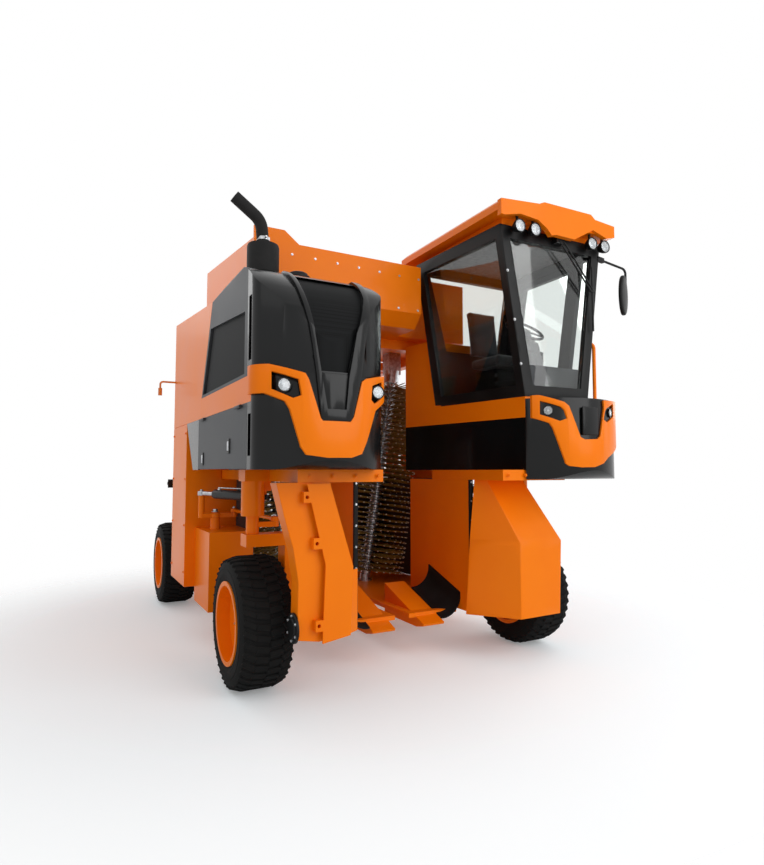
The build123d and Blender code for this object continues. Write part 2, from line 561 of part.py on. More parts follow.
# Upper housing on the right
upper = [(CASE_Y[1], STRIPE_Z[0]), (CASE_Y[1], 3275), HOOD_TOP[0]]
upper += [(POD_REAR, STRIPE_Z[1]), (POD_REAR, STRIPE_Z[0])]
hollow = [
    (CASE_Y[1] - SKIN, STRIPE_Z[0] - 10), (CASE_Y[1] - SKIN, 3275 - SKIN),
    (-1330, 3097 - SKIN), (-1330, STRIPE_Z[0] - 10),
]
nodes["upper_housing"] = prism_x(upper, -SIDE_X, -HOPPER_X) - prism_x(hollow, -SIDE_X + SKIN, -HOPPER_X + 10)

# Hopper: an open bin over the tunnel
HOPPER_FRONT = -1400
HOPPER_STEP = -930
HOPPER_REAR = 460
HOPPER_LIP = (3700, 3920)


def hopper_plan(inset, z0, z1):
    x0, x1 = -HOPPER_X + inset, HOPPER_X - inset
    y0, y1, y2 = HOPPER_FRONT + inset, HOPPER_STEP + inset, HOPPER_REAR - inset
    return prism_z([(x0, y2), (x0, y0), (420 - inset, y0), (420 - inset, y1), (x1, y1), (x1, y2)], z0, z1)


FOLD = [
    (HOPPER_FRONT - 1, ARCH_Z[1] - 1), (HOPPER_FRONT - 1, ARCH_Z[1] + 130),
    (HOPPER_FRONT + 120, ARCH_Z[1] - 1),
]
fold_in = [(FOLD[0][0], FOLD[0][1]), (FOLD[1][0], FOLD[1][1] + 60), (FOLD[2][0] + 60, FOLD[2][1])]
DUCT_X = (720, 1100)
DUCT_Z = (3200, 3560)
inside = hopper_plan(HOPPER_WALL, ARCH_Z[1] + HOPPER_WALL, 4100) - prism_x(fold_in, -HOPPER_X, HOPPER_X)
bin_form = hopper_plan(0, ARCH_Z[1], HOPPER_LIP[1]) - prism_x(FOLD, -HOPPER_X - 10, HOPPER_X + 10) - inside
lip_cut = [
    (HOPPER_FRONT - 10, HOPPER_LIP[0]), (HOPPER_REAR + 10, HOPPER_LIP[1]),
    (HOPPER_REAR + 10, 4100), (HOPPER_FRONT - 10, 4100),
]
bin_form -= prism_x(lip_cut, -HOPPER_X - 10, HOPPER_X + 10)
ear_rows = [(-HOPPER_X, 3600), (-HOPPER_X, 3810), (-1000, 3810), (-860, 3700), (-860, 3600)]
bin_form += prism_y(ear_rows, HOPPER_FRONT, HOPPER_FRONT + HOPPER_WALL)
mouth_x, mouth_z = [(low + 25, high - 25) for low, high in (DUCT_X, DUCT_Z)]
mouth = block(mouth_x, (HOPPER_REAR - 60, HOPPER_REAR + 10), mouth_z)
for hole in both(mouth):
    bin_form -= hole
nodes["hopper"] = bin_form

# Cab: a base, an orange sill, a leaning frame and its glass
cab_plan = [(535, -900), (806, -2450), (1504, -2500), (1504, -900)]
cab_base = prism_z(cab_plan, BEAM_Z[1], STRIPE_Z[0])
cab_sill = prism_z(cab_plan, *STRIPE_Z)
CAB_LOW = ((806, -2450), (1504, -2500), (1504, -1350), (615, -1350))
CAB_HIGH = ((566, -2438), (1756, -2450), (1756, -1190), (495, -1190))
VIEW_TOP = CAB_TOP - 110
VIEW_LOW = STRIPE_Z[1] + 100
CORNER_IN = ((1, 1), (-1, 1), (-1, -1), (1, -1))


def cab_form(inset):
    """The cab's outer form, drawn in by a wall thickness."""
    faces = []
    for z, quad in ((STRIPE_Z[1], CAB_LOW), (CAB_TOP, CAB_HIGH)):
        pts = [(x + i * inset, y + j * inset, z) for (x, y), (i, j) in zip(quad, CORNER_IN)]
        faces.append(make_face(Polyline(*pts, close=True)))
    return loft(faces, ruled=True)


cabinet = prism_z([(535, -900), (628, -1430), (1504, -1430), (1504, -900)], STRIPE_Z[1], ARCH_Z[0])
nodes["rear_cabinet"] = cabinet - cab_form(0)
cab_walls = cab_form(0) - cab_form(CAB_WALL)
front_view = prism_y([(895, VIEW_LOW), (1430, VIEW_LOW), (1645, VIEW_TOP), (675, VIEW_TOP)], -2600, -2300)
rear_view = prism_y([(760, 2900), (1440, 2900), (1640, VIEW_TOP), (620, VIEW_TOP)], -1400, -1100)
row_rows = [(-2370, VIEW_LOW), (-1440, VIEW_LOW), (-1300, VIEW_TOP), (-2355, VIEW_TOP)]
row_view = prism_x(row_rows, 400, 900)
DOOR_CAB_Y = (-2200, -1420)
DOOR_CAB_Z = (VIEW_LOW + 20, VIEW_TOP + 10)
DOOR_X = (1400, 1830)
quarter_rows = [(-2420, VIEW_LOW), (-2270, VIEW_LOW), (-2270, VIEW_TOP), (-2390, VIEW_TOP)]
quarter_view = prism_x(quarter_rows, *DOOR_X)
door_way = block(DOOR_X, DOOR_CAB_Y, DOOR_CAB_Z)
openings = [front_view, rear_view, row_view, quarter_view]
cab_frame = cab_walls - door_way
glass_skin = cab_form(25) - cab_form(33)
panes = []
for view in openings:
    cab_frame -= view
    panes += list((glass_skin & view).solids())
nodes["cab_frame"] = cab_frame
nodes["cab_glass"] = panes
DOOR_SILL_GAP = 20
door_y = (DOOR_CAB_Y[0] + PIN_GAP, DOOR_CAB_Y[1] - MOVE_GAP)
door_z = (DOOR_CAB_Z[0] + DOOR_SILL_GAP, DOOR_CAB_Z[1] - MOVE_GAP)
door_panel = cab_walls & block(DOOR_X, door_y, door_z)
HINGE_R = 12
HINGE_OUT = 11
cab_lean = math.atan2(CAB_HIGH[1][0] - CAB_LOW[1][0], CAB_TOP - STRIPE_Z[1])
hinge_foot = CAB_LOW[1][0] + (DOOR_CAB_Z[0] - STRIPE_Z[1]) * math.tan(cab_lean)
hinge_y = DOOR_CAB_Y[0] + PIN_GAP + HINGE_R
hinge_line = Pos(hinge_foot, hinge_y, DOOR_CAB_Z[0]) * Rot(0, math.degrees(cab_lean), 0)
for up in (120, 900):
    door_panel += hinge_line * rod((HINGE_OUT, 0, up), (HINGE_OUT, 0, up + 110), HINGE_R)
door_view = block(DOOR_X, (DOOR_CAB_Y[0] + 70, DOOR_CAB_Y[1] - 70), (DOOR_CAB_Z[0] + 80, DOOR_CAB_Z[1] - 70))
nodes["cab_door"] = door_panel - door_view
nodes["door_glass"] = glass_skin & door_view

# Roof: a core on the frame, a brim round it and a shaped visor with the work lamps
BRIM_Z = (CAB_TOP + 65, CAB_TOP + 165)
VISOR = [
    (472, 15), (472, 150), (895, 190), (955, 216), (1521, 222), (1573, 184),
    (1823, 168), (1823, 62), (1717, 34),
    (1543, 81), (1436, 21), (1306, -51), (1095, -50), (1032, -65), (985, -18),
    (879, 43), (683, 57), (514, 15),
]
brim = block((470, 1825), (-2540, -930), BRIM_Z)
roof = chamfer(brim.edges().group_by(Axis.Z)[-1], 40)
roof += block((600, 1720), (-2420, -1210), (CAB_TOP, BRIM_Z[0]))
roof += prism_y([(x, CAB_TOP + z) for x, z in VISOR], -2570, -2520)
nodes["cab_roof"] = roof
WORK_R = 58
work_z = CAB_TOP - 32
work = []
for x in (697, 872, 1562, 1724):
    lamp = rod((x, -2550, work_z), (x, -2475, work_z), WORK_R)
    work.append(lamp + block((x - 12, x + 12), (-2515, -2495), (work_z + 40, BRIM_Z[0])))
MIRROR_H = 400
arm_x = MIRROR_REACH - 12
arm_z = CAB_TOP - 120
mirror_bend = [(1690, -2445, arm_z + 10), (arm_x, -2445, arm_z - 40), (arm_x, -2445, arm_z - 430)]
mirror_arm = pipe(mirror_bend, 12, 40)
head_at = (MIRROR_REACH - 75, -2470, arm_z - 310)
mirror_arm += Pos(*head_at) * Rot(0, 0, 50) * Box(170, 50, MIRROR_H)
nodes["mirror"] = mirror_arm - cab_form(0)
WIPE_Y = -2512
wiper = block((1150, 1250), (WIPE_Y, -2400), (CAB_TOP - 85, CAB_TOP - 45)) - cab_form(0)
wiper += rod((1180, WIPE_Y, CAB_TOP - 65), (1560, WIPE_Y, 3330), 8)
wiper += rod((1235, WIPE_Y, CAB_TOP - 65), (1600, WIPE_Y, 3330), 8)
wiper += rod((1550, WIPE_Y, 3330), (1610, WIPE_Y, 3330), 10)
wiper += rod((1580, WIPE_Y, 3560), (1580, WIPE_Y, 2960), 9)
nodes["wiper"] = wiper

# Nose below the windscreen
NOSE_Z = (1610, 2300)
NOSE_H = 15


def nose_plan(out, z0, z1):
    left, right = (806 - out / 2, -2450 - out), (1720 + out, -2590 - out)
    back = [(1775 + out, -2450), (1504, -2450), (1504, -2500), (806, -2450)]
    back = back if out else back[:-1]
    return arc_plan(left, (1240, -2730 - out), right, back, 0, z0, z1)


NOSE_FASCIA = [
    (830, 2323), (869, 2324), (1035, 2261), (1070, 2228),
    (1162, 1967), (1202, 1946), (1341, 1952), (1375, 1979),
    (1433, 2220), (1430, 2290), (1860, 2310), (1860, 1950),
    (1620, 1850), (1484, 1796), (1413, 1746), (1302, 1713),
    (1172, 1710), (1064, 1722), (1038, 1742), (1009, 1843), (953, 2039), (932, 2083), (830, 2131),
]
NOSE_POCKET = [(873, 2275), (1009, 2221), (1033, 2195), (1055, 2122), (1001, 2100), (872, 2158)]
far_pocket = [(2480 - x, z) for x, z in NOSE_POCKET]
chin_rows = [(-2560, NOSE_Z[0]), (-2400, NOSE_Z[0]), (-2400, NOSE_Z[1]), (-2800, NOSE_Z[1]), (-2800, 1900)]
nose = nose_plan(0, *NOSE_Z)
nose_chin = arched_x(chin_rows, (-2740, 1690), 700, 1900) & nose
nose_fascia = (nose_plan(NOSE_H, 1700, 2330) - nose_plan(0, 1700, 2330)) & prism_y(NOSE_FASCIA, -2800, -2440)
cab_lamps = []
for pocket, (x, z) in ((NOSE_POCKET, (923, 2191)), (far_pocket, (1557, 2191))):
    nose_fascia -= prism_y(pocket, -2800, -2440)
    cab_lamps.append(rod((x, -2700, z), (x, -2480, z), LAMP_R - 6) & (nose_plan(NOSE_H - 3, *NOSE_Z) - nose))
nodes["cab_sill"] = [cab_sill, *nose_fascia.solids()]
nodes["cab_base"] = cab_base + nose_chin
nodes["lamps"] = [*pod_lamps, *cab_lamps, *work]

# Inside the cab
seat = block((900, 1260), (-1950, -1560), (STRIPE_Z[1], 2680))
seat += block((880, 1280), (-2020, -1520), (2680, 2790))
seat += prism_x([(-1620, 2790), (-1520, 2790), (-1440, 3330), (-1520, 3330)], 890, 1270)
nodes["seat"] = seat
column = rod((1080, -2330, STRIPE_Z[1]), (1080, -2180, 2880), 45)
column -= block((900, 1300), (-2500, -2000), (2200, STRIPE_Z[1]))
column += Pos(1080, -2175, 2895) * Rot(15, 0, 0) * (Cylinder(190, 24) - Cylinder(165, 24) + Box(350, 40, 20))
console = block((1300, 1420), (-2050, -1560), (STRIPE_Z[1], 2840))
console += rod((1360, -1950, 2840), (1360, -1950, 3000), 18)
nodes["cab_controls"] = [column, console]

# Walkway, ladder and grab rail on the left
walk = block((1504, 1790), (-2450, -540), (2290, STRIPE_Z[1]))
ladder = walk
for y in (-860, -560):
    string = block((1560, 1600), (y - 15, y + 15), (480, 2290))
    string += block((BOX_X[1], 1560), (y - 15, y + 15), (880, 920))
    ladder += string
for i in range(6):
    ladder += block((1560, 1600), (-860, -560), (520 + 300 * i, 540 + 300 * i))
handrail = pipe([(1760, -2350, STRIPE_Z[1]), (1760, -2350, 2900), (1760, -2240, 2900)], 17, 60)
nodes["access_ladder"] = ladder + handrail

# Marker lamps
wand = pipe([(-SIDE_X, 400, 2640), (-1760, 400, 2640), (-1760, 400, 2560)], 10, 30)
wand += rod((-1760, 400, 2570), (-1760, 400, 2490), 20)
nodes["marker_lamp"] = wand

# Rear: tanks over the wheels and elevators behind them
TANK_Y = (760, BEAM_REAR - 220)
nodes["rear_tanks"] = both(block((640, BEAM_X[0]), TANK_Y, (BEAM_Z[0], 2500)))
TOWER_X = (720, 1200)
TOWER_FOOT = 520
tower = block(TOWER_X, (BEAM_REAR, REAR_REACH), (TOWER_FOOT, DUCT_Z[1]))
tower += block(DUCT_X, (HOPPER_REAR, BEAM_REAR), DUCT_Z)
run = (HOPPER_REAR - 10, BEAM_REAR + 100)
tower -= block((DUCT_X[0] + 25, DUCT_X[1] - 25), run, (DUCT_Z[0] + 25, DUCT_Z[1] - 25))
nodes["elevators"] = both(tower)

# The box of the whole machine is centred on the origin, on the ground
shift = Location(((MARKER_REACH - MIRROR_REACH) / 2, 0, TYRE_R - AXLE_Z))
os.makedirs("parts", exist_ok=True)
for name, shape in nodes.items():
    solids = shape if isinstance(shape, list) else [shape]
    moved = [shift * solid for piece in solids for solid in piece.solids()]
    export_step(moved[0] if len(moved) == 1 else Compound(children=moved), f"parts/{name}.step")
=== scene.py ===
# %% [markdown]
# # A coffee harvester, dressed
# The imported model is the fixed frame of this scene: each solid is already in
# place, in metres. The lesson keeps the solids whose form is right, gives every
# one a finish, and adds the pieces that a machine shop or a moulder would make
# finer than the plain solid.

# %% Load the frame
import math

import bmesh
import bpy
from mathutils import Matrix, Vector


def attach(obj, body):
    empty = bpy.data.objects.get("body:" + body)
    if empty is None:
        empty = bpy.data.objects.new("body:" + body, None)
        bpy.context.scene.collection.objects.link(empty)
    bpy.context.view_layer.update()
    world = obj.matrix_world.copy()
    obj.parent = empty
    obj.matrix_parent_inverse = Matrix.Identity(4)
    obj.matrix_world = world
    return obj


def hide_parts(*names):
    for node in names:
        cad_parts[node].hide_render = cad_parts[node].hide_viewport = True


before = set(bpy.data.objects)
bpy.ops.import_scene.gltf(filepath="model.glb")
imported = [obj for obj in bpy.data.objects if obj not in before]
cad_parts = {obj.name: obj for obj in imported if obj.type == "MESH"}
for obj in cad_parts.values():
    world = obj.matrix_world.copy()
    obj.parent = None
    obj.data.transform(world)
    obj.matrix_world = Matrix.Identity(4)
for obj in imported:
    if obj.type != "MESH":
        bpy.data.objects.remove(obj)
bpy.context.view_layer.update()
scene = bpy.context.scene

# %% [markdown]
# ## The camera
# The photograph was taken from the front right, a little above hip height and
# close in, so lines run together strongly. A lens of 25 mm on a 36 mm frame,
# turned 28.4 degrees and tipped up 3.7, gives the same lines with no shift.

# %% Camera
camera_data = bpy.data.cameras.new("camera")
camera_data.sensor_width = 36.0
camera_data.lens = 600 / 865 * 36
camera = bpy.data.objects.new("camera", camera_data)
camera.location = (-2.885, -6.37, 1.655)
camera.rotation_euler = (math.radians(93.67), 0, math.radians(-28.4))
scene.collection.objects.link(camera)
scene.camera = camera
scene.view_settings.view_transform = "Standard"

# %% [markdown]
# ## Steering hoses
# Two short hydraulic hoses run on each side from the frame beam to the steering
# cylinder, close to its foot pin, where it hardly moves. Each is one open curve
# with a round section, 13 mm thick. It leaves the beam level, sags outward in a
# loop and drops into a port on the cylinder. They are made first, so
# later pieces can stay clear of them.

# %% Hoses
SHIFT = Vector((-0.175, 0.0, -0.025))


def at(x, y, z):
    """A place on the drawing, in millimetres, as metres in the frame."""
    return Vector((x, y, z)) / 1000 + SHIFT


def moved(x, y, z):
    """A move to a place on the drawing, as a matrix."""
    return Matrix.Translation(at(x, y, z))


def turned(degrees, axis):
    """A turn about one axis of the frame, as a matrix."""
    return Matrix.Rotation(math.radians(degrees), 4, axis)


SIDES = ((1, "left"), (-1, "right"))


hoses = []
for side, name in SIDES:
    for number, y in ((1, 0), (2, 64)):
        run = [
            (1250, -1462 + y, 1640), (1282, -1462 + y, 1642), (1330, -1470 + y, 1634),
            (1344, -1482 + y, 1590), (1322, -1496 + y, 1550), (1290, -1506 + y, 1526),
            (1256, -1512 + y, 1512),
        ]
        data = bpy.data.curves.new(f"steering_hose_{name}_{number}", "CURVE")
        data.dimensions = "3D"
        data.bevel_depth = 0.0065
        data.bevel_resolution = 4
        spline = data.splines.new("NURBS")
        spline.points.add(len(run) - 1)
        for point, (x, y_at, z) in zip(spline.points, run):
            point.co = (*at(side * x, y_at, z), 1.0)
        spline.order_u = 3
        spline.use_endpoint_u = True
        spline.resolution_u = 12
        hose = bpy.data.objects.new(data.name, data)
        scene.collection.objects.link(hose)
        start_x, start_y, start_z = run[0]
        hoses.append((hose, side, at(side * start_x, start_y, start_z), spline.calc_length()))
print("hose lengths:", [round(h[3], 3) for h in hoses])

# %% [markdown]
# ## Light and floor
# The photo is a cut-out on white with soft light from the front right and a
# darker tunnel, so large soft lamps stand at the front and the side, and the
# floor stays pale and plain.

# %% Light and floor
def srgb(text):
    """Turn an sRGB hex colour into linear values for a shader."""
    parts = [int(text[i:i + 2], 16) / 255 for i in (1, 3, 5)]
    linear = [p / 12.92 if p <= 0.04045 else ((p + 0.055) / 1.055) ** 2.4 for p in parts]
    return (*linear, 1.0)


def link(material, source, target):
    """Join two sockets of a material or the world."""
    material.node_tree.links.new(source, target)


def add(material, kind, links=(), **settings):
    """Add one node with its settings, and link sockets into it."""
    node = material.node_tree.nodes.new(kind)
    for key, value in settings.items():
        if key.startswith("in_"):
            name = key[3:]
            node.inputs[int(name) if name.isdigit() else name.replace("_", " ")].default_value = value
        else:
            setattr(node, key, value)
    for source, target in links:
        link(material, source, node.inputs[target])
    return node


for name, place, turn, size, power in (
    ("key_light", (-6.5, -6.5, 7.5), (50, 0, -45), 5.0, 55),
    ("front_fill", (2.5, -9.0, 4.5), (66, 0, 14), 6.0, 300),
    ("rear_rim", (-4.5, 6.5, 6.5), (-50, 0, 32), 4.0, 60),
    ("far_side", (7.0, 0.5, 5.0), (60, 0, 90), 5.0, 130),
):
    data = bpy.data.lights.new(name, "AREA")
    data.size = size
    data.energy = power
    lamp = bpy.data.objects.new(name, data)
    lamp.location = place
    lamp.rotation_euler = [math.radians(a) for a in turn]
    scene.collection.objects.link(lamp)

# The world lights the machine softly, and shows white behind it, in glass and in gloss
world = bpy.data.worlds.new("studio")
world.use_nodes = True
scene.world = world
soft = world.node_tree.nodes["Background"]
soft.inputs["Color"].default_value = (1, 1, 1, 1)
soft.inputs["Strength"].default_value = 0.58
white = add(world, "ShaderNodeBackground", in_Color=(1, 1, 1, 1), in_Strength=1.0)
ray = add(world, "ShaderNodeLightPath")
seen = add(world, "ShaderNodeMath",
           [(ray.outputs["Is Camera Ray"], 0), (ray.outputs["Is Transmission Ray"], 1)], operation="MAXIMUM")
clear_rays = add(world, "ShaderNodeMath", [(seen.outputs[0], 0), (ray.outputs["Is Glossy Ray"], 1)],
                 operation="MAXIMUM")
either = add(world, "ShaderNodeMixShader",
             [(clear_rays.outputs[0], "Fac"), (soft.outputs[0], 1), (white.outputs[0], 2)])
link(world, either.outputs[0], world.node_tree.nodes["World Output"].inputs["Surface"])

# The floor is a pale disc that keeps the soft shadow and fades out before its edge
floor_mesh = bmesh.new()
bmesh.ops.create_circle(floor_mesh, cap_ends=True, segments=96, radius=9)
floor_data = bpy.data.meshes.new("floor")
floor_mesh.to_mesh(floor_data)
floor_mesh.free()
floor = bpy.data.objects.new("floor", floor_data)
floor.location = (0, 0, -0.001)
scene.collection.objects.link(floor)
floor_paint = bpy.data.materials.new("pale_floor")
floor_paint.use_nodes = True
matt = floor_paint.node_tree.nodes["Principled BSDF"]
matt.inputs["Base Color"].default_value = srgb("#EEF4F7")
matt.inputs["Roughness"].default_value = 0.95
matt.inputs["Emission Color"].default_value = (1, 1, 1, 1)
seen_by = add(floor_paint, "ShaderNodeLightPath")
glow = add(floor_paint, "ShaderNodeMath", [(seen_by.outputs["Is Camera Ray"], 0)],
           operation="MULTIPLY", in_1=0.20)
link(floor_paint, glow.outputs[0], matt.inputs["Emission Strength"])
where = add(floor_paint, "ShaderNodeTexCoord")
reach = add(floor_paint, "ShaderNodeVectorMath", [(where.outputs["Object"], 0)], operation="LENGTH")
fade = add(floor_paint, "ShaderNodeMapRange", [(reach.outputs["Value"], "Value")],
           interpolation_type="SMOOTHSTEP", in_1=2.9, in_2=5.6)
gone = add(floor_paint, "ShaderNodeBsdfTransparent")
blend = add(floor_paint, "ShaderNodeMixShader",
            [(fade.outputs["Result"], "Fac"), (matt.outputs[0], 1), (gone.outputs[0], 2)])
floor_out = floor_paint.node_tree.nodes["Material Output"]
link(floor_paint, blend.outputs[0], floor_out.inputs["Surface"])
floor_data.materials.append(floor_paint)
print("lamps and floor ready")

# %% [markdown]
# ## Finishes
# Every finish below starts from the real material. A small helper makes the
# empty material, and each cell then adds the nodes that give that surface its
# grain. Patterns read Object coordinates in metres, so a size in millimetres
# becomes a scale of 1000 divided by that size.

# %% Paint finishes
def per_mm(size):
    """Scale of a noise whose spots are about that many millimetres across."""
    return 1000 / size


def new_finish(name, colour, roughness, metallic=0.0, gloss=0.22):
    """A material with its constant values on the shader's own sockets."""
    material = bpy.data.materials.new(name)
    material.use_nodes = True
    shader = material.node_tree.nodes["Principled BSDF"]
    shader.inputs["Base Color"].default_value = srgb(colour)
    shader.inputs["Roughness"].default_value = roughness
    shader.inputs["Metallic"].default_value = metallic
    shader.inputs["Specular IOR Level"].default_value = gloss
    return material, shader


def mottle(material, shader, light, dark, spot_mm, low=0.35, high=0.65, detail=4):
    """Colour that drifts between two tones in soft spots."""
    place = add(material, "ShaderNodeTexCoord")
    noise = add(material, "ShaderNodeTexNoise", [(place.outputs["Object"], "Vector")],
                in_Scale=per_mm(spot_mm), in_Detail=detail)
    ramp = add(material, "ShaderNodeValToRGB", [(noise.outputs["Fac"], "Fac")])
    ramp.color_ramp.elements[0].position = low
    ramp.color_ramp.elements[0].color = srgb(dark)
    ramp.color_ramp.elements[1].position = high
    ramp.color_ramp.elements[1].color = srgb(light)
    link(material, ramp.outputs["Color"], shader.inputs["Base Color"])
    return place, noise


def relief(material, shader, place, grain_mm, depth_mm, strength=0.3, detail=2):
    """A fine bump from a second noise."""
    noise = add(material, "ShaderNodeTexNoise", [(place.outputs["Object"], "Vector")],
                in_Scale=per_mm(grain_mm), in_Detail=detail)
    bump = add(material, "ShaderNodeBump", [(noise.outputs["Fac"], "Height")],
               in_Strength=strength, in_Distance=depth_mm / 1000)
    link(material, bump.outputs["Normal"], shader.inputs["Normal"])


def vary_roughness(material, shader, noise, low, high):
    """Gloss that follows a noise, as handled paint does."""
    spread = add(material, "ShaderNodeMapRange", [(noise.outputs["Fac"], "Value")],
                 in_3=low, in_4=high)
    link(material, spread.outputs["Result"], shader.inputs["Roughness"])


def grained(name, colour, roughness, tones, grain, spread, metallic=0.0, gloss=0.22):
    """A finish with drifting tones, a fine bump, and gloss that follows the tones."""
    material, shader = new_finish(name, colour, roughness, metallic, gloss)
    place, drift = mottle(material, shader, *tones)
    relief(material, shader, place, *grain)
    vary_roughness(material, shader, drift, *spread)
    return material, shader


# Polyurethane enamel sprayed on steel: bright, smooth, with a faint orange peel
orange_enamel, shader = grained("orange_enamel", "#F57A06", 0.34, ("#F77D06", "#F47804", 420),
                                (9, 0.25, 0.12), (0.28, 0.42), gloss=0.11)
shader.inputs["Coat Weight"].default_value = 0.06
shader.inputs["Coat Roughness"].default_value = 0.10

# Gelcoat over fibreglass: near black and glossy, with soft waves from the mould
black_gelcoat, shader = grained("black_gelcoat", "#0D0E0F", 0.24, ("#111213", "#0A0B0B", 600),
                                (60, 0.4, 0.08), (0.16, 0.28), gloss=0.2)
shader.inputs["Coat Weight"].default_value = 0.1
shader.inputs["Coat Roughness"].default_value = 0.08

# Powder coat in charcoal: satin, with a fine pebble from the cured powder
charcoal_powder_coat, _ = grained("charcoal_powder_coat", "#3C3E41", 0.5, ("#414346", "#37393B", 350),
                                  (3, 0.2, 0.25), (0.42, 0.58))

# Satin black chassis enamel with a little road dust
black_enamel, _ = grained("black_enamel", "#0D0E0E", 0.45, ("#121313", "#0A0A0B", 260),
                          (12, 0.3, 0.12), (0.36, 0.55))

# Heat-proof enamel on the stack: flat black, chalky where it has been hot
stack_enamel, _ = grained("stack_enamel", "#161616", 0.7, ("#1F1E1E", "#121212", 120),
                          (4, 0.2, 0.2), (0.6, 0.8))
print("paints:", orange_enamel.name, black_gelcoat.name, charcoal_powder_coat.name, black_enamel.name)

# %% Rubber, metal and fibre finishes
# Moulded tyre rubber: dull black, dust in the low places
tyre_rubber, _ = grained("tyre_rubber", "#121212", 0.82, ("#181716", "#0E0E0E", 90, 0.3, 0.75),
                         (6, 0.5, 0.25), (0.72, 0.92), gloss=0.15)

# Sheet rubber for the aprons: calendered, so smoother than a tyre
sheet_rubber, _ = grained("sheet_rubber", "#131313", 0.6, ("#191919", "#0F0F0F", 140),
                          (4, 0.2, 0.2), (0.5, 0.7), gloss=0.15)

# Zinc-plated steel: pale grey with soft cloudy spangle
zinc_steel, _ = grained("zinc_steel", "#B9BBBD", 0.34, ("#C6C8CA", "#9FA1A4", 35),
                        (5, 0.1, 0.15), (0.24, 0.46), metallic=1.0)

# Cast iron in grey primer: grainy from the sand mould
cast_iron, _ = grained("cast_iron", "#3A3B3D", 0.6, ("#444547", "#303133", 60),
                       (5, 0.8, 0.4), (0.52, 0.7))

# Pultruded glass fibre rod: honey yellow, with lengthwise cloudiness
fibre_rod, shader = new_finish("fibre_rod", "#8A6D30", 0.42)
place, _ = mottle(fibre_rod, shader, "#A8873E", "#6B5021", 30)
relief(fibre_rod, shader, place, 4, 0.2, 0.2)

# Perforated sheet, enamelled black: the holes are drawn as dark round cells
# 14 mm apart, coarser than the real 6 mm so that they show in the render.
# The dark in the cells is painted shade, for the dark seen through real holes
perforated_sheet, shader = new_finish("perforated_sheet", "#0A0B0B", 0.65, gloss=0.1)
place = add(perforated_sheet, "ShaderNodeTexCoord")
holes = add(perforated_sheet, "ShaderNodeTexVoronoi", [(place.outputs["Object"], "Vector")],
            in_Scale=per_mm(14), in_Randomness=0.0)
# Painted shade in the holes: each cell is darker than the sheet round it
edge = add(perforated_sheet, "ShaderNodeValToRGB", [(holes.outputs["Distance"], "Fac")])
edge.color_ramp.elements[0].position = 0.34
edge.color_ramp.elements[0].color = srgb("#050505")
edge.color_ramp.elements[1].position = 0.42
edge.color_ramp.elements[1].color = srgb("#141516")
link(perforated_sheet, edge.outputs["Color"], shader.inputs["Base Color"])
bump = add(perforated_sheet, "ShaderNodeBump", [(edge.outputs["Color"], "Height")],
           in_Strength=0.5, in_Distance=0.002)
link(perforated_sheet, bump.outputs["Normal"], shader.inputs["Normal"])
print("other finishes:", tyre_rubber.name, sheet_rubber.name, zinc_steel.name, cast_iron.name, fibre_rod.name)

# %% Glass and lamp finishes
# Tinted safety glass: smooth, nearly clear with a trace of green, hazed here and there
tinted_glass, shader = new_finish("tinted_glass", "#F3F7F5", 0.03, gloss=0.5)
shader.inputs["Transmission Weight"].default_value = 1.0
shader.inputs["IOR"].default_value = 1.5
place = add(tinted_glass, "ShaderNodeTexCoord")
haze = add(tinted_glass, "ShaderNodeTexNoise", [(place.outputs["Object"], "Vector")],
           in_Scale=per_mm(180), in_Detail=5)
vary_roughness(tinted_glass, shader, haze, 0.0, 0.06)

# Clear polycarbonate lamp lens with moulded ribs 9 mm apart
clear_lens, shader = new_finish("clear_lens", "#EEF1F3", 0.08, gloss=0.5)
shader.inputs["Transmission Weight"].default_value = 0.75
shader.inputs["IOR"].default_value = 1.58
place = add(clear_lens, "ShaderNodeTexCoord")
ribs = add(clear_lens, "ShaderNodeTexWave", [(place.outputs["Object"], "Vector")],
           wave_type="BANDS", bands_direction="X", in_Scale=per_mm(9) / 20, in_Distortion=0.0)
bump = add(clear_lens, "ShaderNodeBump", [(ribs.outputs["Fac"], "Height")],
           in_Strength=0.25, in_Distance=0.001)
link(clear_lens, bump.outputs["Normal"], shader.inputs["Normal"])

# Amber polycarbonate for the marker lamp
amber_lens, shader = new_finish("amber_lens", "#F08A12", 0.12, gloss=0.5)
shader.inputs["Transmission Weight"].default_value = 0.4
mottle(amber_lens, shader, "#F6951C", "#E67C06", 20)

# Woven seat cloth: charcoal yarns about 2 mm thick, drawn at 5 mm so they show
seat_cloth, shader = new_finish("seat_cloth", "#2B2C2E", 0.9)
place = add(seat_cloth, "ShaderNodeTexCoord")
weave = add(seat_cloth, "ShaderNodeTexChecker", [(place.outputs["Object"], "Vector")],
            in_Scale=per_mm(5), in_Color1=srgb("#323335"), in_Color2=srgb("#232426"))
link(seat_cloth, weave.outputs["Color"], shader.inputs["Base Color"])
bump = add(seat_cloth, "ShaderNodeBump", [(weave.outputs["Fac"], "Height")],
           in_Strength=0.4, in_Distance=0.001)
link(seat_cloth, bump.outputs["Normal"], shader.inputs["Normal"])
shader.inputs["Sheen Weight"].default_value = 0.3

# Moulded headliner felt: pale grey and dull
grey_trim, shader = new_finish("grey_trim", "#8E9092", 0.9, gloss=0.1)
place, _ = mottle(grey_trim, shader, "#97999B", "#838587", 40)
relief(grey_trim, shader, place, 3, 0.3, 0.3)
print("clear finishes:", tinted_glass.name, clear_lens.name, amber_lens.name, seat_cloth.name)

# %% [markdown]
# ## Painting the solids
# A solid whose form is right keeps its mesh and only takes a finish. The table
# names the finish for each; anything not listed is orange, as most of the real
# bodywork is.

